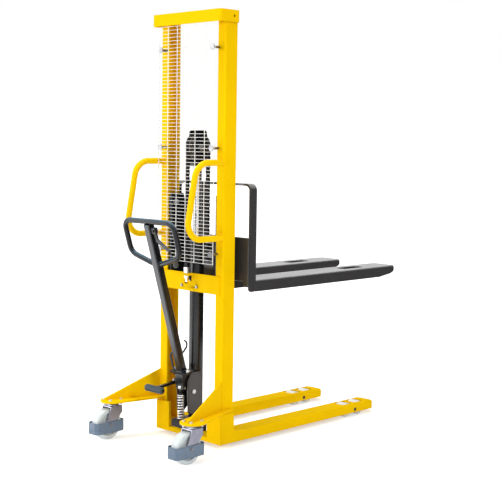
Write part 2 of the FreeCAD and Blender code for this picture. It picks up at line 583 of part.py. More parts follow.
# Outrigger arms and casters

def caster_arms():
    """Arms that carry the casters: a plate with a round end, and a gusset on it that braces the mast."""
    body = new_body("caster_arm_right")
    end_side = "-swivel_side"
    pad(body, "Z", "caster_height", "arm_top", polygon(
        ("mast_depth", "-arm_root_side"), ("0", "-arm_root_side"), ("0", "-arm_inner_side"),
        ("-arm_inner_tangent * cos(arm_inner_turn)",
         "-arm_inner_side - arm_inner_tangent * sin(arm_inner_turn)"),
        ("-swivel_back", end_side),
        ("mast_depth - arm_outer_tangent * cos(arm_outer_turn)",
         "-arm_root_side - arm_outer_tangent * sin(arm_outer_turn)")))
    pad(body, "Z", "caster_height", "arm_top", circles("2 * arm_end_radius", ("-swivel_back", end_side)))
    half = "gusset_thickness / 2"
    pad(body, "Z", "arm_top", "arm_top + gusset_rise", polygon(
        ("0", "-gusset_root_side - " + half), ("0", "-gusset_root_side + " + half),
        ("-gusset_toe_back", "-gusset_toe_side + " + half),
        ("-gusset_toe_back", "-gusset_toe_side - " + half)))
    cut(body, "Y", "-gusset_toe_side - gusset_thickness", "0", polygon(
        ("0", "arm_top + gusset_rise"), ("-gusset_toe_back", "arm_top + gusset_toe_rise"),
        ("-gusset_toe_back", "arm_top + gusset_rise")))
    cut(body, "Z", "caster_height", "arm_top", caster_bolt_holes("-swivel_back", end_side))
    kept(body)
    kept(mirrored(body, "caster_arm_left"))


def caster_bolt_holes(x, y):
    """The four bolt holes round a swivel axis."""
    spots = [("%s %s caster_bolt_span_x / 2" % (x, a), "%s %s caster_bolt_span_y / 2" % (y, b))
             for a in "+-" for b in "+-"]
    return circles("caster_bolt_diameter + 2 * running_gap", *spots)


def hexagon(width, x="0", y="0"):
    """A drawing of a hexagon, as wide across its corners as given."""
    quarter, rise = "(%s) / 4" % width, "(%s) * sqrt(3) / 4" % width
    spots = (("(%s) / 2" % width, "0"), (quarter, rise), ("-" + quarter, rise), ("-(%s) / 2" % width, "0"),
             ("-" + quarter, "-" + rise), (quarter, "-" + rise))
    return polygon(*[("%s + %s" % (x, a), "%s + %s" % (y, b)) for a, b in spots])


def caster_heads():
    """The fixed half of each swivel: a bolted plate with a kingpin and its nut."""
    body = new_body("caster_head", "-swivel_back", "-swivel_side")
    pin, nut, boss = "kingpin_diameter / 2", "kingpin_nut_diameter / 2", "caster_boss_diameter / 2"
    nut_top, boss_floor = "caster_crown_floor - swivel_gap", "caster_plate_floor - caster_boss_height"
    turn(body, "Z", ("0", nut_top + " - kingpin_nut_height"), (nut, nut_top + " - kingpin_nut_height"),
         (nut, nut_top), (pin, nut_top), (pin, boss_floor), (boss, boss_floor), (boss, "caster_plate_floor"),
         ("0", "caster_plate_floor"))
    pad(body, "Z", "caster_plate_floor", "caster_height", rectangle(
        "-caster_plate_length / 2", "caster_plate_length / 2",
        "-caster_plate_width / 2", "caster_plate_width / 2"))
    cut(body, "Z", "caster_plate_floor", "caster_height", caster_bolt_holes("0", "0"))
    kept(group("caster_heads", *both_sides(body.Shape)))
    bolt = new_body("caster_bolt", "-swivel_back - caster_bolt_span_x / 2",
                    "-swivel_side - caster_bolt_span_y / 2")
    height, head = "caster_bolt_head_height", hexagon("caster_bolt_head_diameter")
    pad(bolt, "Z", "caster_plate_floor - " + height, "arm_top + " + height,
        circles("caster_bolt_diameter", ("0", "0")))
    pad(bolt, "Z", "arm_top", "arm_top + " + height, head)
    pad(bolt, "Z", "caster_plate_floor - " + height, "caster_plate_floor", head)
    bolts = []
    for x in (0, value("caster_bolt_span_x")):
        for y in (0, value("caster_bolt_span_y")):
            bolts += both_sides(bolt.Shape.translated(Vector(x, y, 0)))
    kept(group("caster_bolts", *bolts))


def caster_forks():
    """The swivelling forks: a crown with a ball race on top and two legs raked back to the axle."""
    body = new_body("caster_fork_right", "-swivel_back", "-swivel_side")
    outer, eye, half = "caster_leg_outer", "caster_leg_eye_radius", "caster_leg_top_width / 2"
    pad(body, "Y", "-" + outer, outer, polygon(
        (half, "caster_crown_top"), ("-" + half, "caster_crown_top"),
        ("-caster_trail - " + eye, "caster_axle_rise"),
        ("-caster_trail - %s / 2" % eye, "caster_axle_rise - %s * 0.85" % eye),
        ("-caster_trail + %s / 2" % eye, "caster_axle_rise - %s * 0.85" % eye),
        ("-caster_trail + " + eye, "caster_axle_rise"), (half, "caster_crown_floor - " + eye)))
    cut(body, "Y", "-caster_leg_gap / 2", "caster_leg_gap / 2",
        rectangle("-caster_height", "caster_height", "0", "caster_crown_floor"))
    race_top = "caster_crown_top + caster_race_height"
    pad(body, "Z", "caster_crown_top", race_top, circles("caster_race_diameter", ("0", "0")))
    cut(body, "Z", "caster_crown_floor", race_top, circles("kingpin_diameter + 2 * running_gap", ("0", "0")))
    cut(body, "Y", "-" + outer, outer, caster_axle_hole())
    kept(body)
    kept(mirrored(body, "caster_fork_left"))


def caster_axle_hole():
    """The axle's hole through the caster's legs and toe guard."""
    return circles("caster_axle_diameter + 2 * running_gap", ("-caster_trail", "caster_axle_rise"))


def octagon(half_length, half_width, chamfer):
    """A drawing of the toe guard's plan: a rectangle about the wheel with its corners cut off."""
    back, front = "-caster_trail - (%s)" % half_length, "-caster_trail + (%s)" % half_length
    near, far = "-(%s)" % half_width, "(%s)" % half_width
    return polygon(
        (back + " + " + chamfer, near), (front + " - " + chamfer, near), (front, near + " + " + chamfer),
        (front, far + " - " + chamfer), (front + " - " + chamfer, far), (back + " + " + chamfer, far),
        (back, far + " - " + chamfer), (back, near + " + " + chamfer))


def toe_guards():
    """Guards round the caster wheels, held by the axles."""
    body = new_body("toe_guard_right", "-swivel_back", "-swivel_side")
    top = "toe_guard_bottom + toe_guard_height"
    pad(body, "Z", "toe_guard_bottom", top, octagon(
        "toe_guard_length / 2", "toe_guard_outer", "toe_guard_chamfer"))
    cut(body, "Z", "toe_guard_bottom", top, octagon(
        "toe_guard_length / 2 - toe_guard_wall", "caster_leg_outer",
        "(toe_guard_chamfer - toe_guard_wall * (2 - sqrt(2)))"))
    cut(body, "Y", "-toe_guard_outer", "toe_guard_outer", caster_axle_hole())
    kept(body)
    kept(mirrored(body, "toe_guard_left"))


def caster_wheels():
    """The caster wheels on their axle bolts."""
    spot = ("-swivel_back - caster_trail", "-swivel_side", "caster_axle_rise")
    axle = new_body("caster_axle_right", *spot)
    radius, head, reach = "caster_axle_diameter / 2", "caster_axle_head_diameter / 2", "toe_guard_outer"
    end = reach + " + caster_axle_head_height"
    turn(axle, "Y", ("0", "-" + reach + " - caster_axle_head_height"),
         (head, "-" + reach + " - caster_axle_head_height"), (head, "-" + reach), (radius, "-" + reach),
         (radius, reach), (head, reach), (head, end), ("0", end))
    kept(axle)
    kept(mirrored(axle, "caster_axle_left"))
    wheel = new_body("caster_wheel_right", *spot)
    tread, rim = "caster_wheel_diameter / 2", "caster_wheel_diameter / 2 - caster_rim_depth"
    bore, hub = radius + " + running_gap", "caster_hub_diameter / 2"
    shoulder = tread + " - caster_tread_chamfer"
    section = [(bore, "caster_hub_width / 2"), (hub, "caster_hub_width / 2"), (hub, "caster_web_width / 2"),
               (rim, "caster_web_width / 2"), (rim, "caster_wheel_width / 2"),
               (shoulder, "caster_wheel_width / 2"), (tread, "caster_wheel_width / 2 - caster_tread_chamfer")]
    turn(wheel, "Y", *section, *[(place_out, "-(%s)" % along) for place_out, along in reversed(section)])
    kept(wheel)
    kept(mirrored(wheel, "caster_wheel_left"))


# Grab handles and wire guard

def grab_handles():
    """Bent tubes for pushing, welded to the operator's face of the mast."""
    body = new_body("grab_handle_right")
    side = "-grab_spread / 2"
    path = bent_path(body, "Y", side, [
        ("0", "grab_top"), ("-grab_top_reach", "grab_top"), ("-grab_bottom_reach", "grab_bottom"),
        ("0", "grab_bottom")], ["grab_top_radius", "grab_bottom_radius"])
    sweep(body, path, "X", "0", together(
        circles("grab_tube_diameter", (side, "grab_top")),
        circles("grab_tube_diameter - 2 * grab_tube_wall", (side, "grab_top"))))
    kept(body)
    kept(mirrored(body, "grab_handle_left"))


def upright_rectangle(x, left, right, low, high):
    """A rectangular wire in a plane square to X."""
    corners = [Vector(x, left, low), Vector(x, right, low), Vector(x, right, high), Vector(x, left, high)]
    return Part.makePolygon(corners + corners[:1])


def wire_guard():
    """The welded mesh in front of the chain, as one holed sheet."""
    wire, low = value("guard_wire"), value("guard_bottom")
    columns, rows = int(value("guard_columns")), int(value("guard_rows"))
    pitch, row_pitch, half = value("guard_column_pitch"), value("guard_row_pitch"), value("guard_half_width")
    x = -value("guard_standoff") - wire
    outline = upright_rectangle(x, -half - wire / 2, half + wire / 2, low, low + rows * row_pitch + wire)
    gaps = []
    for column in range(columns):
        left = -half + column * pitch + wire / 2
        for row in range(rows):
            floor = low + wire + row * row_pitch
            gaps.append(upright_rectangle(x, left, left + pitch - wire, floor, floor + row_pitch - wire))
    guard = kept(doc.addObject("Part::Feature", "wire_guard"))
    guard.Label = "wire_guard"
    guard.Shape = Part.makeFace([outline] + gaps, "Part::FaceMakerBullseye").extrude(Vector(wire, 0, 0))
    place(guard)
    standoff = new_body("guard_standoff", "0", "-standoff_side",
                        "guard_bottom + (guard_wire + guard_row_pitch) / 2")
    post, pin, clip = "standoff_diameter / 2", "standoff_pin_diameter / 2", "standoff_clip_diameter / 2"
    back, front = "-guard_standoff", "-guard_standoff - guard_wire"
    end = front + " - standoff_clip_height"
    turn(standoff, "X", ("0", "0"), (post, "0"), (post, back), (pin, back), (pin, front), (clip, front),
         (clip, end), ("0", end))
    standoffs = []
    for row in ("low_standoff_rows", "mid_standoff_rows", "high_standoff_rows"):
        standoffs += both_sides(standoff.Shape.translated(Vector(0, 0, value(row) * row_pitch)))
    kept(group("guard_standoffs", *standoffs))


# Lift cylinder, ram and pump

def lift_cylinder():
    """The lift cylinder with its gland, and the clamp that ties it to the cross plate."""
    tube = kept(new_body("lift_cylinder", "ram_x"))
    bore, outside = "cylinder_bore / 2", "cylinder_diameter / 2"
    turn(tube, "Z", (bore, "pump_block_top"), (outside, "pump_block_top"), (outside, "cylinder_top"),
         (bore, "cylinder_top"))
    gland = kept(new_body("cylinder_gland", "ram_x"))
    hole, spigot, flange = "ram_diameter / 2 + running_gap", bore + " - running_gap", "gland_diameter / 2"
    low, top = "cylinder_top - gland_spigot_height", "cylinder_top + gland_flange_height"
    turn(gland, "Z", (hole, low), (spigot, low), (spigot, "cylinder_top"), (flange, "cylinder_top"),
         (flange, top), (hole, top))
    clamp = kept(new_body("cylinder_clamp"))
    floor, ceiling = "clamp_middle - clamp_height / 2", "clamp_middle + clamp_height / 2"
    wide, ear = outside + " + clamp_wall", outside + " + clamp_wall + clamp_ear"
    pad(clamp, "Z", floor, ceiling, rectangle("0", "ram_x", "-(%s)" % wide, wide))
    pad(clamp, "Z", floor, ceiling, circles("cylinder_diameter + 2 * clamp_wall", ("ram_x", "0")))
    pad(clamp, "Z", floor, ceiling, rectangle("0", "clamp_wall", "-(%s)" % ear, ear))
    inside = "cylinder_diameter / 2 + running_gap"
    cut(clamp, "Z", floor, ceiling, circles("cylinder_diameter + 2 * running_gap", ("ram_x", "0")))
    cut(clamp, "Z", floor, ceiling, rectangle("-clamp_wall", "ram_x", "-(%s)" % inside, inside))
    cut(clamp, "X", "0", "clamp_wall", circles(
        "clamp_bolt_diameter + 2 * running_gap", ("-clamp_bolt_side", "clamp_middle"),
        ("clamp_bolt_side", "clamp_middle")))
    bolt = new_body("clamp_bolt", "0", "-clamp_bolt_side", "clamp_middle")
    back, height = "-cross_plate_thickness", "clamp_bolt_head_height"
    pad(bolt, "X", back + " - " + height, "clamp_wall + " + height, circles("clamp_bolt_diameter", ("0", "0")))
    pad(bolt, "X", back + " - " + height, back, hexagon("clamp_bolt_head_diameter"))
    pad(bolt, "X", "clamp_wall", "clamp_wall + " + height, hexagon("clamp_bolt_head_diameter"))
    kept(group("clamp_bolts", *both_sides(bolt.Shape)))


def pump_block():
    """The pump casting under the cylinder, with the barrel that the plunger slides in."""
    body = kept(new_body("pump_block"))
    half, back, top = "pump_block_width / 2", "-pump_block_rear", "pump_block_top"
    pad(body, "Y", "-" + half, half, polygon(
        (back, "pump_block_bottom"), (back, top + " - pump_block_chamfer"),
        (back + " + pump_block_chamfer", top), ("pump_block_front", top),
        ("pump_block_front", "base_plate_top"), ("-pump_foot_back", "base_plate_top"),
        ("-pump_foot_back", "pump_block_bottom")))
    softened(body, "Z", "pump_block_chamfer", (back, "-" + half), (back, half))
    pad(body, "Z", top, "barrel_top", circles("barrel_diameter", ("-cam_back", "0")))
    cut(body, "Z", "pump_block_bottom + barrel_floor", "barrel_top",
        circles("plunger_diameter + 2 * running_gap", ("-cam_back", "0")))


def pump_plunger():
    """The pump plunger with the collar that its spring lifts."""
    body = kept(new_body("pump_plunger", "-cam_back"))
    rod, collar, head = "plunger_diameter / 2", "plunger_collar_diameter / 2", "plunger_head_diameter / 2"
    foot, neck = "barrel_top - plunger_depth", "plunger_top - plunger_head_height"
    seat, ledge = "plunger_collar_rise", "plunger_collar_rise + plunger_collar_height"
    turn(body, "Z", ("0", foot), (rod, foot), (rod, seat), (collar, seat), (collar, ledge), (rod, ledge),
         (rod, neck), (head, neck), (head, "plunger_top"), ("0", "plunger_top"))


def biarc(start, start_way, end, end_way):
    """Two arcs that leave one point and reach another in given unit directions, tangent where they meet."""
    chord, ways = end - start, start_way + end_way
    spread = 2 * (1 - start_way.dot(end_way))
    along = chord.dot(ways)
    reach = (math.sqrt(along ** 2 + spread * chord.dot(chord)) - along) / spread
    joint = (start + start_way * reach + end - end_way * reach) * 0.5
    return [arc_from(start, start_way, joint), arc_from(end, end_way * -1, joint)]


def arc_from(start, way, end):
    """The arc that leaves a point in a unit direction and ends at another point."""
    chord = end - start
    unit = Vector(chord).normalize()
    bulge = (way - unit * way.dot(unit)).normalize()
    middle = start + chord * 0.5 + bulge * (chord.Length / 2 * math.tan(way.getAngle(chord) / 2))
    return Part.Arc(start, middle, end).toShape()


def pump_spring():
    """The plunger's return spring: one wire wound round the barrel, in half turns."""
    wire, radius, turns = value("spring_wire"), value("spring_mean_diameter / 2"), value("spring_turns")
    seat = wire / 2 + value("spring_seat_gap")
    low, high = value("pump_block_top") + seat, value("plunger_collar_rise") - seat
    quarters = int(round(turns * 4))
    climb = (high - low) / (quarters * math.pi / 2)
    spots, ways = [], []
    for step in range(quarters + 1):
        angle = step * math.pi / 2
        spots.append(Vector(radius * math.cos(angle), radius * math.sin(angle), low + climb * angle))
        ways.append(Vector(-radius * math.sin(angle), radius * math.cos(angle), climb).normalize())
    edges = []
    for step in range(quarters):
        first, second = biarc(spots[step], ways[step], spots[step + 1], ways[step + 1])
        edges += [first, second]
    path = Part.Wire(Part.__sortEdges__(edges))
    section = Part.Wire(Part.Circle(spots[0], ways[0], wire / 2).toShape())
    spring = kept(doc.addObject("Part::Feature", "pump_spring"))
    spring.Label = "pump_spring"
    spring.Shape = path.makePipeShell([section], True, False)
    place(spring, "-cam_back")
    print("pump_spring: least gap between turns %.2f mm" % (climb * 2 * math.pi - wire))


def lift_ram():
    """The ram with its piston, inside the lift cylinder."""
    body = kept(new_body("lift_ram", "ram_x"))
    rod, piston = "ram_diameter / 2", "cylinder_bore / 2 - running_gap"
    turn(body, "Z", ("0", "ram_bottom"), (piston, "ram_bottom"), (piston, "ram_bottom + piston_height"),
         (rod, "ram_bottom + piston_height"), (rod, "yoke_bottom"), ("0", "yoke_bottom"))


# Chain, chain wheel and yoke

def chain_head():
    """The yoke on the ram, the chain wheel in it, and its axle."""
    yoke = kept(new_body("chain_yoke", "ram_x"))
    half, inner, top = "yoke_length / 2", "(chain_wheel_half + yoke_side_gap)", "chain_wheel_rise + yoke_rise"
    outer = "(chain_wheel_half + yoke_side_gap + yoke_cheek)"
    pad(yoke, "Z", "yoke_bottom", top, rectangle("-" + half, half, "-" + outer, outer))
    softened(yoke, "Y", "yoke_corner_radius", ("-" + half, top), (half, top))
    cut(yoke, "X", "-yoke_length", "yoke_length",
        rectangle("-" + inner, inner, "yoke_bottom + yoke_floor", top + " - yoke_bridge"))
    cut(yoke, "Y", "-" + outer, outer,
        circles("chain_axle_diameter + 2 * running_gap", ("0", "chain_wheel_rise")))
    axle = kept(new_body("chain_wheel_axle", "ram_x", "0", "chain_wheel_rise"))
    radius, head = "chain_axle_diameter / 2", "chain_axle_head_diameter / 2"
    end = outer + " + chain_axle_head_height"
    turn(axle, "Y", ("0", "-(%s)" % end), (head, "-(%s)" % end), (head, "-" + outer), (radius, "-" + outer),
         (radius, outer), (head, outer), (head, end), ("0", end))
    wheel = kept(new_body("chain_wheel", "ram_x", "0", "chain_wheel_rise"))
    bore, groove = radius + " + running_gap", "chain_width / 2 + chain_side_gap"
    rim, floor = "chain_inner_radius + chain_wheel_rim", "chain_inner_radius - loose_gap"
    turn(wheel, "Y", (bore, "-chain_wheel_half"), (rim, "-chain_wheel_half"), (rim, "-(%s)" % groove),
         (floor, "-(%s)" % groove), (floor, groove), (rim, groove), (rim, "chain_wheel_half"),
         (bore, "chain_wheel_half"))
    if value("chain_wheel_rise + yoke_rise + ram_upper_travel") >= value("mast_top"):
        raise RuntimeError("the yoke meets the cap at full lift")


def chain():
    """The lifting chain: a fixed run behind the mast, a half turn over the wheel, a run to the carriage."""
    half_width, half = "chain_width / 2", "chain_thickness / 2"
    for name, x, foot in (("chain_fixed_run", "chain_back_x", "anchor_top"),
                          ("chain_lift_run", "chain_front_x", "chain_lug_top")):
        run = kept(new_body(name, x))
        pad(run, "Z", foot, "chain_wheel_rise", rectangle("-" + half, half, "-" + half_width, half_width))
    wrap = kept(new_body("chain_wrap", "ram_x"))
    centre = ("0", "chain_wheel_rise")
    pad(wrap, "Y", "-" + half_width, half_width, circles("2 * chain_pitch_radius + chain_thickness", centre))
    cut(wrap, "Y", "-" + half_width, half_width, circles("2 * chain_inner_radius", centre))
    cut(wrap, "Y", "-" + half_width, half_width, rectangle(
        "-chain_pitch_radius - chain_thickness", "chain_pitch_radius + chain_thickness",
        "chain_wheel_rise - chain_pitch_radius - chain_thickness", "chain_wheel_rise"))


# Fork carriage

def carriage():
    """The carriage: cheeks with rollers in the mast, a front plate over the legs, and the backrest."""
    cheek = new_body("carriage_cheek")
    outer, inner = "-cheek_outer_side", "cheek_thickness - cheek_outer_side"
    pad(cheek, "Y", outer, inner, polygon(
        ("cheek_rear", "cheek_bottom"), ("carriage_back", "cheek_bottom"),
        ("carriage_back", "cheek_top - cheek_cut_down"), ("carriage_back - cheek_cut_back", "cheek_top"),
        ("cheek_rear", "cheek_top")))
    cut(cheek, "Y", outer, inner, circles(
        "roller_axle_diameter + 2 * running_gap", ("ram_x", "roller_low"), ("ram_x", "roller_high")))
    kept(group("carriage_cheeks", *both_sides(cheek.Shape)))
    plate = kept(new_body("carriage_plate"))
    edge, low, top = "forks_overall / 2", "carriage_plate_bottom", "carriage_plate_top"
    far, near = "legs_overall / 2 + leg_side_room", "leg_inner - leg_side_room"
    arch = "fork_top_rest - fork_wall"
    right = [("-" + edge, top), ("-" + edge, low), ("-(%s)" % far, low), ("-(%s)" % far, arch),
             ("-(%s)" % near, arch), ("-(%s)" % near, low)]
    left = [(near, low), (near, arch), (far, arch), (far, low), (edge, low), (edge, top)]
    pad(plate, "X", "carriage_back", "carriage_front", polygon(*right, *left))
    pad(plate, "Z", "chain_lug_top - chain_lug_height", "chain_lug_top", rectangle(
        "chain_front_x - chain_thickness / 2", "carriage_front",
        "-chain_lug_width / 2", "chain_lug_width / 2"))
    rest = kept(new_body("backrest"))
    side, crest, heel = "strip_inner_side", "backrest_top", "fork_bottom"
    pad(rest, "X", "carriage_front", "strip_front", polygon(
        ("-" + edge, heel), ("-" + side, heel), ("-" + side, crest + " - strip_thickness"),
        (side, crest + " - strip_thickness"), (side, heel), (edge, heel), (edge, crest), ("-" + edge, crest)))
    softened(rest, "X", "backrest_radius", ("-" + edge, crest), (edge, crest))
    softened(rest, "X", "backrest_radius - strip_thickness",
             ("-" + side, crest + " - strip_thickness"), (side, crest + " - strip_thickness"))
    softened(rest, "Y", "strip_heel_radius", ("carriage_front", heel), ("strip_front", heel))
    for middle in ("-backrest_bar_spread / 2", "backrest_bar_spread / 2"):
        pad(rest, "X", "carriage_front", "strip_front", rectangle(
            middle + " - backrest_bar_thickness / 2", middle + " + backrest_bar_thickness / 2",
            "backrest_bar_bottom", crest + " - strip_thickness / 2"))


def forks():
    """Fork blades: hollow underneath, so that they come down over the legs, with a round, tapered tip."""
    body = new_body("fork_right")
    outer, inner, top = "-forks_overall / 2", "-fork_inner_side", "fork_top_rest"
    pad(body, "Z", "fork_bottom", top, rectangle("carriage_front", "fork_reach", outer, inner))
    softened(body, "Z", "fork_nose_radius", ("fork_reach", outer), ("fork_reach", inner))
    cut(body, "Y", outer, inner, polygon(
        ("fork_taper_start", "fork_bottom"), ("fork_reach", "fork_bottom"), ("fork_reach", "fork_tip_bottom")))
    cut(body, "Y", outer, inner, polygon(
        ("fork_reach - fork_tip_length", top), ("fork_reach", "fork_tip_top"), ("fork_reach", top)))
    cut(body, "Z", "fork_bottom", top + " - fork_wall", rectangle(
        "carriage_front", "fork_reach - fork_nose_solid", outer + " + fork_wall", inner + " - fork_wall"))
    back, front = "fork_slot_place - fork_slot_length / 2", "fork_slot_place + fork_slot_length / 2"
    near, far = "-fork_side - fork_slot_width / 2", "-fork_side + fork_slot_width / 2"
    cut(body, "Z", top + " - fork_wall", top, rectangle(back, front, near, far))
    softened(body, "Z", "fork_slot_radius", (back, near), (back, far), (front, near), (front, far))
    cut(body, "Z", "fork_bottom", top, rectangle("carriage_front", "strip_front", outer, "-strip_inner_side"))
    kept(body)
    kept(mirrored(body, "fork_left"))


def carriage_rollers():
    """Rollers that run inside the channels, on stub axles in the cheeks."""
    radius, bore = "roller_diameter / 2", "roller_axle_diameter / 2 + running_gap"
    outer, inner = "-roller_outer_side", "-roller_inner_side"
    shaft, collar, head = "roller_axle_diameter / 2", "roller_collar_diameter / 2", "roller_head_diameter / 2"
    cheek_inner = "cheek_thickness - cheek_outer_side"
    axles = []
    for name, rise in (("upper", "roller_high"), ("lower", "roller_low")):
        roller = new_body("roller_" + name, "ram_x", "0", rise)
        turn(roller, "Y", (bore, outer), (radius + " - roller_chamfer", outer),
             (radius, outer + " + roller_chamfer"),
             (radius, inner + " - roller_chamfer"), (radius + " - roller_chamfer", inner), (bore, inner))
        kept(group("carriage_rollers_" + name, *both_sides(roller.Shape)))
        axle = new_body("roller_axle_" + name, "ram_x", "0", rise)
        turn(axle, "Y", ("0", outer + " - roller_axle_tip"), (shaft, outer + " - roller_axle_tip"),
             (shaft, inner + " + roller_side_gap"), (collar, inner + " + roller_side_gap"),
             (collar, "-cheek_outer_side"), (shaft, "-cheek_outer_side"), (shaft, cheek_inner),
             (head, cheek_inner),
             (head, cheek_inner + " + roller_head_height"), ("0", cheek_inner + " + roller_head_height"))
        axles += both_sides(axle.Shape)
    kept(group("roller_axles", *axles))


# Pump handle, hand lever and foot pedal

def leaned(across, along):
    """A point of the handle's own leaning frame, in the mast's frame."""
    return ("-handle_foot_back + (%s) * cos(handle_tilt) - (%s) * sin(handle_tilt)" % (across, along),
            "handle_foot_rise + (%s) * sin(handle_tilt) + (%s) * cos(handle_tilt)" % (across, along))


def handle_bracket():
    """Two plates on the cylinder that carry the handle's pivot, and the pivot pins of handle and pedal."""
    plate = new_body("bracket_plate")
    outer, inner = "-bracket_outer", "-bracket_inner"
    pad(plate, "Y", outer, inner, polygon(
        ("bracket_front", "bracket_top"), ("bracket_front", "bracket_knee"),
        ("-bracket_tip_back", "bracket_tip"),
        ("-bracket_heel_back", "bracket_heel_rise"), ("-bracket_waist_back", "bracket_waist_rise"),
        ("-bracket_waist_back", "bracket_top - bracket_shoulder"), ("-bracket_crown_back", "bracket_top")))
    cut(plate, "Y", outer, inner,
        circles("handle_pin_diameter + 2 * running_gap", ("-handle_pivot_back", "handle_pivot_rise")))
    kept(group("handle_bracket", *both_sides(plate.Shape)))
    pin = new_body("handle_pin", "-handle_pivot_back", "0", "handle_pivot_rise")
    radius, head = "handle_pin_diameter / 2", "handle_pin_head_diameter / 2"
    end = "bracket_outer + handle_pin_head_height"
    turn(pin, "Y", ("0", "-(%s)" % end), (head, "-(%s)" % end), (head, outer), (radius, outer),
         (radius, "bracket_outer"), (head, "bracket_outer"), (head, end), ("0", end))
    stub = new_body("pedal_pin", "-pedal_pivot_back", "0", "pedal_pivot_rise")
    shaft, cap = "pedal_pin_diameter / 2", "pedal_cap_diameter / 2"
    hub_in = "pedal_side - pedal_hub_width / 2 - loose_gap"
    hub_out = "pedal_side + pedal_hub_width / 2 + loose_gap"
    tip = hub_out + " + pedal_cap_height"
    turn(stub, "Y", ("0", "bracket_outer"), (cap, "bracket_outer"), (cap, hub_in), (shaft, hub_in),
         (shaft, hub_out), (cap, hub_out), (cap, tip), ("0", tip))
    kept(group("pivot_pins", pin.Shape, stub.Shape))


def handle_rocker():
    """The handle's foot: a rocker on the pivot pin, with a cam roller and a flange for the shaft."""
    body = kept(new_body("handle_rocker"))
    half, hub = "rocker_width / 2", "rocker_hub_radius"
    pivot_x, pivot_z, cam_x = "-handle_pivot_back", "handle_pivot_rise", "-cam_back"
    under = "-rocker_flange_thickness / 2"
    pad(body, "Y", "-" + half, half, polygon(
        (pivot_x + " + %s * 0.6" % hub, pivot_z + " - %s * 0.8" % hub), (pivot_x + " + " + hub, pivot_z),
        leaned("rocker_flange_depth / 3", under), leaned("-rocker_flange_depth / 2.5", under),
        (cam_x + " - cam_pin_diameter", "cam_rise - cam_pin_diameter / 2"),
        (cam_x + " + cam_pin_diameter / 2", "cam_rise - cam_pin_diameter"),
        (pivot_x + " - %s * 0.3" % hub, pivot_z + " - %s * 0.95" % hub)))
    depth = "rocker_flange_depth / 2"
    pad(body, "Y", "-rocker_flange_width / 2", "rocker_flange_width / 2", polygon(
        leaned("-" + depth, "-rocker_flange_thickness"), leaned(depth, "-rocker_flange_thickness"),
        leaned(depth, "0"), leaned("-" + depth, "0")))
    slot = "(cam_roller_width / 2 + cam_side_gap)"
    cut(body, "Y", "-" + slot, slot, rectangle(
        cam_x + " - cam_roller_diameter", cam_x + " + cam_roller_diameter / 2 + cam_side_gap",
        "cam_rise - cam_roller_diameter", "cam_rise + cam_roller_diameter / 2 + cam_rest_gap"))
    cut(body, "Y", "-" + half, half, together(
        circles("handle_pin_diameter + 2 * running_gap", (pivot_x, pivot_z)),
        circles("cam_pin_diameter + 2 * running_gap", (cam_x, "cam_rise"))))
    roller = kept(new_body("cam_roller", cam_x, "0", "cam_rise"))
    pin, rim, width = "cam_pin_diameter / 2", "cam_roller_diameter / 2", "cam_roller_width / 2"
    turn(roller, "Y", ("0", "-" + half), (pin, "-" + half), (pin, "-" + width), (rim, "-" + width),
         (rim, width), (pin, width), (pin, half), ("0", half))


def handle_shaft():
    """The handle's square tube, with two ears for the hand lever."""
    body = kept(new_body("handle_shaft"))
    tilt(body)
    half = "shaft_side / 2"
    pad(body, "Z", "0", "shaft_top", rectangle("-" + half, half, "-" + half, half))
    softened(body, "Z", "shaft_corner_radius",
             ("-" + half, "-" + half), ("-" + half, half), (half, "-" + half), (half, half))
    inside = "(shaft_side / 2 - shaft_wall)"
    cut(body, "Z", "0", "shaft_top", rectangle("-" + inside, inside, "-" + inside, inside))
    near = "(lever_thickness / 2 + lever_side_gap)"
    ear = rectangle("-lever_pivot_side - lever_ear_round", "-shaft_side / 2",
                    "lever_pivot_rise - lever_ear_height / 2", "lever_pivot_rise + lever_ear_height / 2")
    pad(body, "X", near, near + " + lever_ear_thickness", ear)
    pad(body, "X", "-%s - lever_ear_thickness" % near, "-" + near, ear)
    cut(body, "X", "-shaft_side / 2", "shaft_side / 2",
        circles("lever_pin_diameter + 2 * running_gap", ("-lever_pivot_side", "lever_pivot_rise")))


def handle_loop():
    """The handle's grip loop: one bent tube, drawn as a half and mirrored, with its ends on the shaft."""
    body = kept(new_body("handle_loop"))
    tilt(body)
    path = bent_path(body, "X", "0", [
        ("0", "loop_top"), ("-loop_half_width", "loop_top"), ("-loop_hip_half_width", "loop_hip_rise"),
        ("-shaft_side / 4", "loop_foot_rise")], ["loop_top_radius", "loop_hip_radius"])
    pipe = sweep(body, path, "Y", "0", together(
        circles("loop_tube_diameter", ("0", "loop_top")),
        circles("loop_tube_diameter - 2 * loop_tube_wall", ("0", "loop_top"))))
    twin = body.newObject("PartDesign::Mirrored", "handle_loop_mirror")
    twin.Originals = [pipe]
    twin.MirrorPlane = (next(item for item in body.Origin.OriginFeatures if item.Role == "XZ_Plane"), [""])
    body.Tip = twin
    doc.recompute()
    cut(body, "X", "-loop_tube_diameter", "loop_tube_diameter", rectangle(
        "-shaft_side / 2", "shaft_side / 2", "loop_foot_rise - shaft_side", "loop_foot_rise + shaft_side"))


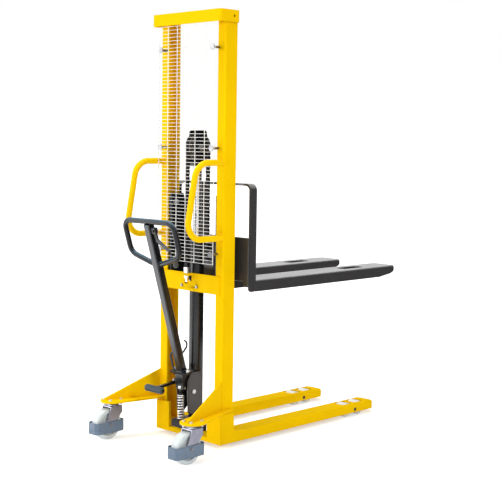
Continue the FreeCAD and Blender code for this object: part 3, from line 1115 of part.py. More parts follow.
def hand_lever():
    """The lowering lever inside the loop, on trunnions in the shaft's ears."""
    body = kept(new_body("hand_lever"))
    tilt(body)
    half, pivot = "lever_thickness / 2", ("-lever_pivot_side", "lever_pivot_rise")
    bar = "lever_bar_width / 2"
    pad(body, "X", "-" + half, half, circles("2 * lever_hub_radius", pivot))
    pad(body, "X", "-" + half, half, polygon(
        (pivot[0] + " + " + bar, pivot[1]), (pivot[0] + " - " + bar, pivot[1] + " + " + bar),
        ("-lever_elbow_side - " + bar, "lever_elbow_rise + " + bar),
        ("-lever_tip_side", "lever_tip_rise + " + bar), ("-lever_tip_side", "lever_tip_rise - " + bar),
        ("-lever_elbow_side + " + bar, "lever_elbow_rise - " + bar)))
    end = "lever_thickness / 2 + lever_side_gap + lever_ear_thickness"
    pad(body, "X", "-(%s)" % end, end, circles("lever_pin_diameter", pivot))


def foot_pedal():
    """The foot pedal: a lever on the bracket's side, with a rubber sleeve on its cross bar."""
    body = kept(new_body("pedal_lever"))
    pivot, tip = ("-pedal_pivot_back", "pedal_pivot_rise"), ("-pedal_reach", "pedal_rise")
    half = "pedal_bar / 2"
    pad(body, "Y", "pedal_side - pedal_hub_width / 2", "pedal_side + pedal_hub_width / 2",
        circles("pedal_hub_diameter", pivot))
    pad(body, "Y", "pedal_side - " + half, "pedal_side + " + half, polygon(
        (pivot[0], pivot[1] + " - " + half), (pivot[0], pivot[1] + " + " + half),
        (tip[0], tip[1] + " + " + half), (tip[0], tip[1] + " - " + half)))
    low, high = "pedal_side - pedal_rubber_length / 2", "pedal_side + pedal_rubber_length / 2"
    pad(body, "Y", low, high, circles("pedal_core_diameter", tip))
    cut(body, "Y", "pedal_side - pedal_hub_width / 2", "pedal_side + pedal_hub_width / 2",
        circles("pedal_pin_diameter + 2 * running_gap", pivot))
    rubber = kept(new_body("pedal_rubber", "-pedal_reach", "0", "pedal_rise"))
    core, skin = "pedal_core_diameter / 2 + running_gap", "pedal_rubber_diameter / 2"
    turn(rubber, "Y", (core, low), (skin + " - pedal_rubber_end", low), (skin, low + " + pedal_rubber_end"),
         (skin, high + " - pedal_rubber_end"), (skin + " - pedal_rubber_end", high), (core, high))
    cut(rubber, "Y", "pedal_side - pedal_bar / 2 - loose_gap", "pedal_side + pedal_bar / 2 + loose_gap",
        rectangle("0", "pedal_rubber_diameter", "-pedal_bar", "pedal_bar"))


mast_channels()
top_cap()
cross_plate()
chain_anchor_bolt()
legs()
base_plate()
load_wheels()
caster_arms()
caster_heads()
caster_forks()
toe_guards()
caster_wheels()
grab_handles()
wire_guard()
lift_cylinder()
pump_block()
pump_plunger()
pump_spring()
lift_ram()
chain_head()
chain()
carriage()
forks()
carriage_rollers()
handle_bracket()
handle_rocker()
handle_shaft()
handle_loop()
hand_lever()
foot_pedal()

doc.recompute()
for item in doc.Objects:
    if "Invalid" in item.State or "Error" in item.State:
        raise RuntimeError("%s could not be built" % item.Label)
for piece in nodes:
    if piece.Shape.isNull() or not piece.Shape.isValid():
        raise RuntimeError("%s has no valid shape" % piece.Label)

os.makedirs("parts", exist_ok=True)
for piece in nodes:
    piece.Shape.exportStep("parts/%s.step" % piece.Label)
print("%d nodes, %d solids" % (len(nodes), sum(len(piece.Shape.Solids) for piece in nodes)))
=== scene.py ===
# %% [markdown]
# # A hand pallet stacker
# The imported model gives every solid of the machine: mast, legs, carriage, pump, handle and casters. This lesson
# dresses those solids: it sets up a camera and a studio, mixes a finish for each material, and adds what is too
# fine for the solids, such as the wires of the guard, the links of the chain, bolts and weld beads.

# %% Load the frame
import json
import math

import bmesh
import bpy
from mathutils import Matrix, Vector


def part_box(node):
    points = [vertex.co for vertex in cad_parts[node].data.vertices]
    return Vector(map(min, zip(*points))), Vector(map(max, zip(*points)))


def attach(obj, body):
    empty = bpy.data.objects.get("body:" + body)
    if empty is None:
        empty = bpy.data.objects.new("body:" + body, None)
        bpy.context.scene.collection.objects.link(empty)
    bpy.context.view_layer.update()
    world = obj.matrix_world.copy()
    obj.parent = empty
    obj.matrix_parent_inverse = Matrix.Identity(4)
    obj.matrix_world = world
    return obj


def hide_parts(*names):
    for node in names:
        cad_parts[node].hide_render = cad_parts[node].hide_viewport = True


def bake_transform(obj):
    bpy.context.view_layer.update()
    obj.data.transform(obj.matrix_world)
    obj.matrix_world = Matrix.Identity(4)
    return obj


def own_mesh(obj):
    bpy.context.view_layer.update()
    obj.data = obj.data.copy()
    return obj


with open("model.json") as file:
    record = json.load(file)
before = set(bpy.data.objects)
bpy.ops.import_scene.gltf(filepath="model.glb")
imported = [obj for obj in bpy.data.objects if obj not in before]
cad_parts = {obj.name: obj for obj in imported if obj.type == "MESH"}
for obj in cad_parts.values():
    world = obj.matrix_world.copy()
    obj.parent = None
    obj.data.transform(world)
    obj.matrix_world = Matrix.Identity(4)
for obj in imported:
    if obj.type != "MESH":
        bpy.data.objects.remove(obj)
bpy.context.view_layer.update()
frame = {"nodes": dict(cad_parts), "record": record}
nodes = frame["nodes"]
scene = bpy.context.scene

# %% [markdown]
# ## Places
# The machine is measured from its mast: x from the operator's face of the mast towards the fork tips, y from the
# centre plane, z from the floor. The cross plate lies on that face, so its box says where the mast stands in the
# frame, and one function turns a place in millimetres into a point.

# %% Places on the machine
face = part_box("cross_plate")[1][0]


def mast(x, y, z):
    """A point given in millimetres from the operator's face of the mast, the centre plane and the floor."""
    return Vector((face + x / 1000, y / 1000, z / 1000))


LEAN = math.radians(16.5)
SHAFT_FOOT_X, SHAFT_FOOT_Z = -55, 356
HANDLE_UP = Vector((-math.sin(LEAN), 0, math.cos(LEAN)))
HANDLE_OUT = Vector((math.cos(LEAN), 0, math.sin(LEAN)))


def handle(across, y, along):
    """A point on the leaning handle, in millimetres from the foot of its shaft."""
    return mast(SHAFT_FOOT_X, y, SHAFT_FOOT_Z) + HANDLE_OUT * (across / 1000) + HANDLE_UP * (along / 1000)


print("the mast's face is at x = %.3f m" % face)

# %% [markdown]
# ## Camera
# The photograph was taken from behind the operator's right hand, a little above the pump handle. Its camera was
# worked out from the straight edges of the mast, legs and forks, so it is set from a place and three angles, not
# aimed by eye.

# %% Place the camera
EYE = mast(-3609.9, -4005.2, 1459.5)
YAW, PITCH, ROLL = 0.78431, -0.09537, 0.0145
forward = Vector((math.cos(YAW) * math.cos(PITCH), math.sin(YAW) * math.cos(PITCH), math.sin(PITCH)))
level = Vector((math.sin(YAW), -math.cos(YAW), 0))
upright = level.cross(forward)
right = level * math.cos(ROLL) + upright * math.sin(ROLL)
up = upright * math.cos(ROLL) - level * math.sin(ROLL)
lens = bpy.data.cameras.new("camera")
lens.sensor_width = 36
lens.lens = 80.33
lens.clip_end = 200
camera = bpy.data.objects.new("camera", lens)
scene.collection.objects.link(camera)
camera.matrix_world = Matrix.Translation(EYE) @ Matrix((right, up, -forward)).transposed().to_4x4()
scene.camera = camera
scene.view_settings.view_transform = "Standard"
print("camera at", [round(number, 2) for number in EYE])

# %% [markdown]
# ## Shader words
# A finish is a small network of nodes. Writing it as Python expressions keeps it readable: `Wire` wraps one output
# of a node, adding or multiplying wires adds a Math node, and `Finish.node` makes every other node.

# %% Finish and Wire
class Wire:
    """One output of a node. Adding to it or multiplying it makes a Math node."""

    def __init__(self, finish, socket):
        self.finish, self.socket = finish, socket

    def math(self, operation, other):
        return self.finish.node("ShaderNodeMath", {"operation": operation}, {0: self, 1: other})

    def __add__(self, other):
        return self.math("ADD", other)

    def __mul__(self, other):
        return self.math("MULTIPLY", other)


class Finish:
    """A material that is being mixed: its node tree and its Principled shader."""

    def __init__(self, name, **fixed):
        self.material = bpy.data.materials.new(name)
        self.material.use_nodes = True
        self.tree = self.material.node_tree
        self.shader = self.tree.nodes["Principled BSDF"]
        for socket, number in fixed.items():
            self.shader.inputs[socket.replace("_", " ")].default_value = number

    def node(self, kind, settings=None, sockets=None, output=0):
        """A node of that type: its settings first, then a value or a link for each socket."""
        made = self.tree.nodes.new(kind)
        for key, setting in (settings or {}).items():
            setattr(made, key, setting)
        for key, entry in (sockets or {}).items():
            self.feed(made.inputs[key], entry)
        return Wire(self, made.outputs[output])

    def feed(self, socket, entry):
        """Link a wire to a socket, or set the socket's own value."""
        if isinstance(entry, Wire):
            self.tree.links.new(entry.socket, socket)
        else:
            socket.default_value = entry

    def place(self):
        """The point on the piece, in metres."""
        return self.node("ShaderNodeTexCoord", output="Object")

    def noise(self, scale, detail=2.0, stretch=None):
        """Cloudy noise between 0 and 1. The scale counts blobs per metre, and stretch draws them out."""
        spot = self.place()
        if stretch:
            spot = self.node("ShaderNodeVectorMath", {"operation": "MULTIPLY"}, {0: spot, 1: stretch})
        return self.node("ShaderNodeTexNoise", {}, {"Vector": spot, "Scale": scale, "Detail": detail})

    def ramp(self, fac, low, high):
        """How far a value is from low to high, held between 0 and 1."""
        return self.node("ShaderNodeMapRange", {}, {"Value": fac, "From Min": low, "From Max": high})

    def mix(self, share, first, second):
        """One colour turning into another."""
        return self.node("ShaderNodeMix", {"data_type": "RGBA"}, {"Factor": share, 6: first, 7: second}, 2)

    def edges(self, radius):
        """A mask of the piece's edges: where a rounded normal leaves the flat one."""
        rounded = self.node("ShaderNodeBevel", {"samples": 4}, {"Radius": radius})
        flat = self.node("ShaderNodeNewGeometry", output="Normal")
        straight = self.node("ShaderNodeVectorMath", {"operation": "DOT_PRODUCT"}, {0: rounded, 1: flat}, "Value")
        still_flat, full_edge = 0.985, 0.9
        return self.ramp(straight, still_flat, full_edge)

    def bump(self, height, strength, distance):
        """A surface relief from a height."""
        return self.node("ShaderNodeBump", {}, {"Height": height, "Strength": strength, "Distance": distance})

    def set(self, **links):
        """Feed the shader's own sockets."""
        for socket, entry in links.items():
            self.feed(self.shader.inputs[socket.replace("_", " ")], entry)
        return self


def tint(colour, share):
    """A colour made darker or paler by a share."""
    return tuple(min(1.0, part * share) for part in colour[:3]) + (1.0,)


# %% [markdown]
# ## Finishes
# Powder coat is the machine's main finish. Real coats aren't flat: the coat has a fine orange peel, it drifts a little
# in tone and gloss over a hand's width, it darkens with grime in patches and it wears through on edges. The yellow is
# matt and strong; the charcoal is glossy, and its upward faces get a painted sheen, a pale colour standing in for the
# room's reflection, bluish like the sky on the graphite. Plated steel is brighter, with a faint brushed streak. Nylon
# and rubber are dull and even, with scuffs.

# %% Mix the finishes
def powder_coat(name, colour, gloss, worn=(0.30, 0.29, 0.27, 1), wear=0.5, peel=0.12, shine=0.45,
                top_sheen=0.0, sheen_colour=(0.45, 0.46, 0.47, 1)):
    """A sprayed and baked paint: tone and gloss drift, a painted sheen on top, fine orange peel, wear on the edges."""
    finish = Finish(name, Specular_IOR_Level=shine)
    drift = finish.noise(2.6, 3.0)
    grime = finish.noise(11.0, 5.0)
    tone = finish.mix(finish.ramp(drift, 0.32, 0.68), tint(colour, 0.95), tint(colour, 1.04))
    tone = finish.mix(finish.ramp(grime, 0.62, 0.8) * 0.1, tone, tint(colour, 0.7))
    # Painted sheen: the upward faces are painted towards a pale colour, which stands in for the room's reflection on
    # the tops; grime noise makes it patchy.
    upward = finish.node("ShaderNodeSeparateXYZ", {}, {0: finish.node("ShaderNodeTexCoord", output="Normal")}, "Z")
    painted_sheen = finish.ramp(upward, 0.25, 0.95) * (finish.ramp(grime, 0.25, 0.7) * 0.5 + 0.5) * top_sheen
    tone = finish.mix(painted_sheen, tone, sheen_colour)
    chips = finish.edges(0.0016) * finish.ramp(finish.noise(70.0, 4.0), 0.54, 0.63) * wear
    tone = finish.mix(chips, tone, worn)
    polish = finish.ramp(grime, 0.3, 0.7) * 0.12 + (gloss - 0.06)
    skin = finish.bump(finish.noise(900.0, 1.0), peel, 0.0004)
    return finish.set(Base_Color=tone, Roughness=polish + chips * 0.2 + painted_sheen * 0.3, Normal=skin)


DRAWN_OUT = (1.0, 1.0, 0.06)


def plated(name, colour, gloss, dull=0.5):
    """Zinc or turned steel: a metal with drawn-out streaks and dull patches."""
    finish = Finish(name, Metallic=0.9)
    lines = finish.noise(240.0, 2.0, DRAWN_OUT)
    patch = finish.noise(26.0, 4.0)
    tone = finish.mix(finish.ramp(patch, 0.35, 0.7), tint(colour, 1.0), tint(colour, 1.0 - 0.35 * dull))
    polish = finish.ramp(lines, 0.3, 0.7) * 0.14 + finish.ramp(patch, 0.4, 0.75) * (0.25 * dull) + (gloss - 0.07)
    return finish.set(Base_Color=tone, Roughness=polish, Normal=finish.bump(lines, 0.08, 0.0003))


def moulded(name, colour, gloss, grain=0.15, scuff=0.8):
    """Cast nylon, grip plastic or rubber: an even colour with scuffs and a fine grain."""
    finish = Finish(name, Specular_IOR_Level=0.4)
    scuffs = finish.ramp(finish.noise(38.0, 5.0), 0.52, 0.72)
    tone = finish.mix(scuffs * 0.35, tint(colour, 1.0), tint(colour, scuff))
    skin = finish.bump(finish.noise(700.0, 2.0), grain, 0.0005)
    return finish.set(Base_Color=tone, Roughness=scuffs * 0.15 + gloss, Normal=skin)


YELLOW = (0.930, 0.575, 0.0)
GRAPHITE = (0.009, 0.010, 0.013)
BARE = (0.22, 0.22, 0.22, 1)
# Painted sheen: the dark coats below get a pale sheen painted on their upward faces, and this bluish colour stands in
# for the sky's reflection on the graphite.
PAINTED_SKY_SHEEN = (0.12, 0.22, 0.30, 1)
finishes = {
    "yellow_paint": powder_coat("yellow_powder_coat", YELLOW, 0.72, shine=0.03),
    "yellow_tube": powder_coat("yellow_tube_coat", YELLOW, 0.5, shine=0.06),
    "black_paint": powder_coat("charcoal_powder_coat", (0.046, 0.044, 0.045), 0.16, BARE, peel=0.05, top_sheen=0.45),
    "grey_paint": powder_coat("graphite_coat", GRAPHITE, 0.18, BARE, wear=0.4, peel=0.05, shine=0.5,
                              top_sheen=0.8, sheen_colour=PAINTED_SKY_SHEEN),
    "loop_grey": powder_coat("loop_coat", GRAPHITE, 0.2, BARE, wear=0.4, peel=0.05, shine=0.22,
                             top_sheen=0.9, sheen_colour=PAINTED_SKY_SHEEN),
    "cylinder_grey": powder_coat("cylinder_coat", (0.009, 0.010, 0.011), 0.24, BARE, wear=0.3, peel=0.05, shine=0.36),
    "pump_black": powder_coat("pump_casting_coat", (0.010, 0.010, 0.011), 0.45, BARE, wear=0.3, peel=0.5, shine=0.3),
    "slate_paint": powder_coat("slate_coat", (0.112, 0.166, 0.240), 0.3, BARE, wear=0.4, shine=0.5),
    "guard_wire": moulded("coated_wire", (0.90, 0.90, 0.88), 0.4, grain=0.05, scuff=0.9),
    "zinc": plated("zinc_plate", (0.70, 0.72, 0.74), 0.36),
    "chrome_rod": plated("hard_chrome", (0.72, 0.73, 0.75), 0.14, dull=0.15),
    "spring_steel": plated("spring_zinc", (0.84, 0.85, 0.86), 0.32),
    "chain_steel": plated("oiled_chain", (0.03, 0.03, 0.031), 0.36),
    "roller_steel": plated("turned_steel", (0.24, 0.24, 0.25), 0.3),
    "white_nylon": moulded("white_nylon", (0.80, 0.79, 0.74), 0.42, grain=0.08, scuff=0.82),
    "caster_nylon": moulded("grey_nylon", (0.66, 0.71, 0.72), 0.45, grain=0.08, scuff=0.85),
    "lever_black": moulded("lever_plastic", (0.022, 0.024, 0.027), 0.42),
    "rubber": moulded("pedal_rubber", (0.026, 0.046, 0.058), 0.45, grain=0.3),
    "caster_steel": plated("swivel_plate", (0.30, 0.30, 0.37), 0.36),
}
print("finishes:", ", ".join(sorted(finishes)))

# %% [markdown]
# ## Dress the solids
# Each solid keeps its shape and takes the finish of its slot. Pressed and welded steel has no knife edges, so a
# small bevel is laid over the solid's own mesh: a modifier, which leaves that mesh as it is. Forks and legs are
# pressed round moulds, so their upper rims get a wider rounding. A few geometry nodes mark those rims: the edges
# inside one box, outside a second box that holds the slots and hollows, and sharp enough to be edges. The rounding is
# full round the tip and somewhat less along the sides.

# %% Mark the rims
RIM_ROUNDING, RIM_SHARE = 0.0115, 0.7
TIP_BEGINS, TIP_FULL = 0.085, 0.06
SHARP_EDGE = 0.6


def mark_rim(obj, low, high, spare_low, spare_high):
    """Give the rim's edges the weight that a bevel looks for, the full one round the tip."""
    tree = bpy.data.node_groups.new(obj.name + "_rim", "GeometryNodeTree")
    for way in ("INPUT", "OUTPUT"):
        tree.interface.new_socket("Geometry", in_out=way, socket_type="NodeSocketGeometry")
    made = {kind: tree.nodes.new(kind) for kind in (
        "NodeGroupInput", "NodeGroupOutput", "GeometryNodeInputPosition", "GeometryNodeInputMeshEdgeAngle",
        "GeometryNodeStoreNamedAttribute")}

    def logic(operation, *inputs):
        gate = tree.nodes.new("FunctionNodeBooleanMath")
        gate.operation = operation
        for socket, wire in zip(gate.inputs, inputs):
            tree.links.new(wire, socket)
        return gate.outputs[0]

    def compare(kind, operation, wire, limit):
        test = tree.nodes.new("FunctionNodeCompare")
        test.data_type, test.operation = kind, operation
        sockets = [socket for socket in test.inputs if socket.enabled]
        tree.links.new(wire, sockets[0])
        sockets[1].default_value = limit
        return test.outputs[0]

    spot = made["GeometryNodeInputPosition"].outputs[0]
    inside, spared = [logic("AND", compare("VECTOR", "GREATER_EQUAL", spot, first),
                            compare("VECTOR", "LESS_EQUAL", spot, last))
                      for first, last in ((low, high), (spare_low, spare_high))]
    sharp = compare("FLOAT", "GREATER_THAN", made["GeometryNodeInputMeshEdgeAngle"].outputs[0], SHARP_EDGE)
    store = made["GeometryNodeStoreNamedAttribute"]
    store.data_type, store.domain = "FLOAT", "EDGE"
    store.inputs["Name"].default_value = "bevel_weight_edge"
    parts, weight = tree.nodes.new("ShaderNodeSeparateXYZ"), tree.nodes.new("ShaderNodeMapRange")
    tree.links.new(spot, parts.inputs[0])
    tree.links.new(parts.outputs["X"], weight.inputs["Value"])
    for socket, number in (("From Min", high.x - TIP_BEGINS), ("From Max", high.x - TIP_FULL), ("To Min", RIM_SHARE)):
        weight.inputs[socket].default_value = number
    tree.links.new(weight.outputs[0], store.inputs["Value"])
    tree.links.new(logic("AND", logic("NIMPLY", inside, spared), sharp), store.inputs["Selection"])
    tree.links.new(made["NodeGroupInput"].outputs[0], store.inputs["Geometry"])
    tree.links.new(store.outputs[0], made["NodeGroupOutput"].inputs[0])
    obj.modifiers.new("rim", "NODES").node_group = tree


# For each beam: its sides in y, then the ends in x and z of the rim's box and of the box that is spared.
BEAMS = {"fork": ((115, 275), (180, 1299), (760, 808), (100, 1229), (740, 810)),
         "leg": ((139.5, 233.5), (80, 1160), (55, 73), (60, 1107), (20, 74))}
OUTSIDE, INSIDE = 1, 4.5
rims = {}
for side, way in (("right", -1), ("left", 1)):
    for beam, (sides, rim_x, rim_z, spare_x, spare_z) in BEAMS.items():
        first, last = sorted(way * y for y in sides)
        rims["%s_%s" % (beam, side)] = (
            mast(rim_x[0], first - OUTSIDE, rim_z[0]), mast(rim_x[1], last + OUTSIDE, rim_z[1]),
            mast(spare_x[0], first + INSIDE, spare_z[0]), mast(spare_x[1], last - INSIDE, spare_z[1]))
print("rims to round:", ", ".join(sorted(rims)))

# %% Assign finishes and soften edges
SOFT_EDGE = {"yellow_paint": 0.0024, "black_paint": 0.0028, "grey_paint": 0.0014, "pump_black": 0.0025,
             "cylinder_grey": 0.0012, "slate_paint": 0.001, "zinc": 0.0006, "caster_nylon": 0.0012,
             "white_nylon": 0.001, "lever_black": 0.0018}
OWN_FINISH = {"handle_bracket": "black_paint", "handle_loop": "loop_grey", "pump_plunger": "chain_steel",
              "caster_fork_right": "caster_steel", "caster_fork_left": "caster_steel",
              "caster_heads": "roller_steel", "clamp_bolts": "roller_steel", "guard_standoffs": "roller_steel",
              "carriage_cheeks": "cylinder_grey", "pedal_lever": "cylinder_grey", "handle_rocker": "cylinder_grey"}
CORNER, FLAT_WITHIN = math.radians(32), math.radians(1)
SAME_POINT = 0.00001
slot_of = {entry["node"]: entry["material_slot"] for entry in frame["record"]["subparts"]}


def add_bevel(obj, width, segments, method):
    """Round off the edges that the method picks."""
    bevel = obj.modifiers.new("bevel", "BEVEL")
    bevel.width, bevel.segments, bevel.limit_method = width, segments, method
    bevel.angle_limit = CORNER
    bevel.harden_normals = True
    return bevel


for name, obj in nodes.items():
    slot = slot_of[name]
    obj.data.materials.clear()
    obj.data.materials.append(finishes[OWN_FINISH.get(name, slot)].material)
    if slot in SOFT_EDGE:
        joined = obj.modifiers.new("joined", "WELD")
        joined.merge_threshold = SAME_POINT
        if name in rims:
            flat = obj.modifiers.new("flat", "DECIMATE")
            flat.decimate_type, flat.angle_limit = "DISSOLVE", FLAT_WITHIN
            mark_rim(obj, *rims[name])
            wide = add_bevel(obj, RIM_ROUNDING, segments=5, method="WEIGHT")
            wide.use_clamp_overlap = wide.loop_slide = False
        add_bevel(obj, SOFT_EDGE[slot], segments=3, method="ANGLE")
print("dressed %d solids" % len(nodes))

# %% [markdown]
# ## Tools for small pieces
# Bolts, washers, seals and sleeves are all turned shapes, so one lathe makes them: a profile of radius and height,
# spun in a few steps about an axis. Six steps give a hexagon head. Wires, rods and weld beads are bars drawn along
# points.

# %% Lathe
def turned(bm, origin, axis, profile, sides=20):
    """Spin a profile of (radius, height) in millimetres about an axis through a point."""
    way = Vector(axis).normalized()
    across = way.orthogonal().normalized()
    around = way.cross(across)
    rings = []
    for radius, height in profile:
        centre = origin + way * (height / 1000)
        if radius == 0:
            rings.append([bm.verts.new(centre)])
            continue
        ring = []
        for step in range(sides):
            angle = 2 * math.pi * step / sides
            spoke = across * math.cos(angle) + around * math.sin(angle)
            ring.append(bm.verts.new(centre + spoke * (radius / 1000)))
        rings.append(ring)
    for low, high in zip(rings, rings[1:]):
        for step in range(sides):
            after = (step + 1) % sides
            loop = [low[step % len(low)], low[after % len(low)], high[after % len(high)], high[step % len(high)]]
            bm.faces.new(list(dict.fromkeys(loop)))


# %% Round bar
def tube(bm, points, radii, sides=8, closed=False):
    """Draw a round bar along points. The radii are in millimetres, one for all or one for each point."""
    if not isinstance(radii, (list, tuple)):
        radii = [radii] * len(points)
    count = len(points)
    rings, across = [], None
    for step, point in enumerate(points):
        before = points[(step - 1) % count] if closed or step else point
        after = points[(step + 1) % count] if closed or step < count - 1 else point
        way = (after - before).normalized()
        across = way.orthogonal() if across is None else across - way * across.dot(way)
        across.normalize()
        around = way.cross(across)
        ring = []
        for side in range(sides):
            angle = 2 * math.pi * side / sides
            spoke = across * math.cos(angle) + around * math.sin(angle)
            ring.append(bm.verts.new(point + spoke * (radii[step] / 1000)))
        rings.append(ring)
    pairs = list(zip(rings, rings[1:])) + ([(rings[-1], rings[0])] if closed else [])
    for low, high in pairs:
        for side in range(sides):
            after = (side + 1) % sides
            bm.faces.new((low[side], low[after], high[after], high[side]))
    if not closed:
        bm.faces.new(rings[0][::-1])
        bm.faces.new(rings[-1])


# %% Make a piece of a mesh
def add_piece(name, bm, slot, body=None, hides=(), sharp=35):
    """Make a piece from its mesh, give it a finish and let it ride on a body."""
    bmesh.ops.recalc_face_normals(bm, faces=bm.faces)
    mesh = bpy.data.meshes.new(name)
    bm.to_mesh(mesh)
    bm.free()
    mesh.shade_smooth()
    mesh.set_sharp_from_angle(angle=math.radians(sharp))
    mesh.materials.append(finishes[slot].material)
    obj = bpy.data.objects.new(name, mesh)
    scene.collection.objects.link(obj)
    if hides:
        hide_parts(*hides)
    if body:
        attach(obj, body)
    print("%s: %d faces" % (name, len(mesh.polygons)))
    return obj


# %% [markdown]
# ## Wire guard
# The guard in front of the chain is a welded mesh: seven upright wires with many thin wires across them. The solid
# is a holed sheet. Here every wire is a round bar, the cross wires on the operator's side of the uprights, which is
# where they are welded on.

# %% Guard wires
sheet_low, sheet_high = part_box("wire_guard")
UPRIGHT_RADIUS, CROSS_RADIUS = 1.7, 1.1
UPRIGHTS, CROSSWISE = 7, 67
INSET = 0.002
bm = bmesh.new()
front_x = sheet_high[0] - UPRIGHT_RADIUS / 1000
cross_x = sheet_low[0] + CROSS_RADIUS / 1000
for step in range(UPRIGHTS):
    y = sheet_low[1] + INSET + (sheet_high[1] - sheet_low[1] - 2 * INSET) * step / (UPRIGHTS - 1)
    tube(bm, [Vector((front_x, y, sheet_low[2])), Vector((front_x, y, sheet_high[2]))], UPRIGHT_RADIUS)
for step in range(CROSSWISE):
    z = sheet_low[2] + INSET + (sheet_high[2] - sheet_low[2] - 2 * INSET) * step / (CROSSWISE - 1)
    tube(bm, [Vector((cross_x, sheet_low[1], z)), Vector((cross_x, sheet_high[1], z))], CROSS_RADIUS, 6)
add_piece("guard_wires", bm, "guard_wire", "chassis", ["wire_guard"])

# %% [markdown]
# ## Lifting chain
# A leaf chain is nothing but plates on pins. Each link has plates with round ends, and the plates of one link lie
# between those of the next. The links of a run are one mesh. The two bodies that hold the run's ends are listed with
# it but not used, so the runs ride on no body. The links over the wheel ride with the ram.

# %% Chain links
PITCH_OF_LINKS, PLATE, PIN_RADIUS, PIN_END = 15.9, 2.3, 3.0, 10
OUTER_LEAVES, INNER_LEAVES = (-8.6, -2.9, 2.9, 8.6), (-5.75, 0.0, 5.75)
OUTER_WIDTH, INNER_WIDTH = 13.6, 12.8
END_STEPS = 6


def leaf(bm, first, second, y, width):
    """One plate with round ends round two pins."""
    way = (second - first).normalized()
    side = Vector((0, 1, 0)).cross(way)
    outline = []
    for centre, start in ((first, math.pi / 2), (second, -math.pi / 2)):
        for step in range(END_STEPS + 1):
            angle = start + math.pi * step / END_STEPS
            outline.append(centre + (way * math.cos(angle) + side * math.sin(angle)) * (width / 2000))
    lift = Vector((0, PLATE / 2000, 0))
    shift = Vector((0, y / 1000, 0))
    low = [bm.verts.new(point + shift - lift) for point in outline]
    high = [bm.verts.new(point + shift + lift) for point in outline]
    bm.faces.new(low[::-1])
    bm.faces.new(high)
    for step in range(len(low)):
        after = (step + 1) % len(low)
        bm.faces.new((low[step], low[after], high[after], high[step]))


def links(pins):
    """A chain through a row of pins."""
    bm = bmesh.new()
    for step, (first, second) in enumerate(zip(pins, pins[1:])):
        leaves, width = (INNER_LEAVES, INNER_WIDTH) if step % 2 else (OUTER_LEAVES, OUTER_WIDTH)
        for y in leaves:
            leaf(bm, first, second, y, width)
    for pin in pins:
        turned(bm, pin, (0, 1, 0), [(0, -PIN_END), (PIN_RADIUS, -PIN_END), (PIN_RADIUS, PIN_END), (0, PIN_END)], 10)
    return bm


def run_pins(node):
    """Pins spaced evenly up a straight run."""
    low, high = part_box(node)
    x, count = (low[0] + high[0]) / 2, round((high[2] - low[2]) * 1000 / PITCH_OF_LINKS)
    return [Vector((x, 0, low[2] + (high[2] - low[2]) * step / count)) for step in range(count + 1)]


# %% Chain over the wheel and its two runs
wrap_low, wrap_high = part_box("chain_wrap")
wheel = Vector(((wrap_low[0] + wrap_high[0]) / 2, 0, wrap_low[2]))
HALF_LINK = 0.007
bend = (wrap_high[0] - wrap_low[0]) / 2 - HALF_LINK
turns = round(math.pi * bend * 1000 / PITCH_OF_LINKS)
arc = [wheel + Vector((-math.cos(math.pi * step / turns), 0, math.sin(math.pi * step / turns))) * bend
       for step in range(turns + 1)]
add_piece("chain_over_wheel", links(arc), "chain_steel", "ram", ["chain_wrap"])
for name, node, low_body, high_body in (("chain_links_fixed", "chain_fixed_run", "chassis", "ram"),
                                        ("chain_links_lifting", "chain_lift_run", "carriage", "ram")):
    pins = run_pins(node)
    strand = add_piece(name, links(pins), "chain_steel", None, [node])
    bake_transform(strand)

# %% [markdown]
# ## Foot pedal
# The pedal's cross bar wears a rubber sleeve with shallow ribs for grip and round ends. It is a turned shape, with
# the ribs in its profile.

# %% Ribbed sleeve
low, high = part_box("pedal_rubber")
middle = Vector(((low[0] + high[0]) / 2, low[1], (low[2] + high[2]) / 2))
length, skin = (high[1] - low[1]) * 1000, (high[0] - low[0]) * 500
RIBS, PLAIN_END = 14, 14
# Depth under the skin, with millimetres from the end or with the share of a rib's span.
ROUND_END = ((8, 0.4), (4, 2.2), (1.2, 5.4), (0, 10))
RIB = ((0.9, 0.12), (0.9, 0.34), (0, 0.5), (0, 0.95))
span = (length - 2 * PLAIN_END) / RIBS
profile = [(0, 0)] + [(skin - depth, inwards) for depth, inwards in ROUND_END]
for step in range(RIBS):
    profile += [(skin - depth, PLAIN_END + span * step + span * share) for depth, share in RIB]
profile += [(skin - depth, length - inwards) for depth, inwards in ROUND_END[::-1]] + [(0, length)]
bm = bmesh.new()
turned(bm, middle, (0, 1, 0), profile, 28)
add_piece("pedal_sleeve", bm, "rubber", "pedal", ["pedal_rubber"], 50)

# %% [markdown]
# ## Bolts and pins
# Hexagon heads hold the handle's flange, the hand lever and the caster axles. Each has a washer under it and a
# chamfer on top, which is what catches the light.

# %% Hexagon head
def hexagon_head(bm, origin, axis, across, height, washer=1.6, shank=0.0):
    """A washer, a six-sided head with a chamfered top and the end of its shank."""
    corner = across / 2 / math.cos(math.pi / 6)
    rim, top = corner * 1.2, washer + height
    turned(bm, origin, axis, [(0, 0), (rim - 0.3, 0), (rim, washer / 2), (rim - 0.3, washer), (0, washer)])
    turned(bm, origin, axis,
           [(0, washer), (corner, washer), (corner, top - height * 0.18), (corner * 0.84, top), (0, top)], 6)
    if shank:
        turned(bm, origin, axis, [(0, top), (shank, top), (shank, top + 2), (shank - 1, top + 3), (0, top + 3)], 14)


# %% Handle bolts and caster axles
bm = bmesh.new()
for y in (-46, 46):
    hexagon_head(bm, handle(0, y, 0), HANDLE_UP, across=15, height=7, shank=4.5)
add_piece("flange_bolts", bm, "zinc", "handle")
bm = bmesh.new()
for way in (-1, 1):
    hexagon_head(bm, handle(way * 9.9, -34, 722), HANDLE_OUT * way, across=11, height=3.5, washer=1.2)
add_piece("lever_bolt", bm, "chain_steel", "handle")

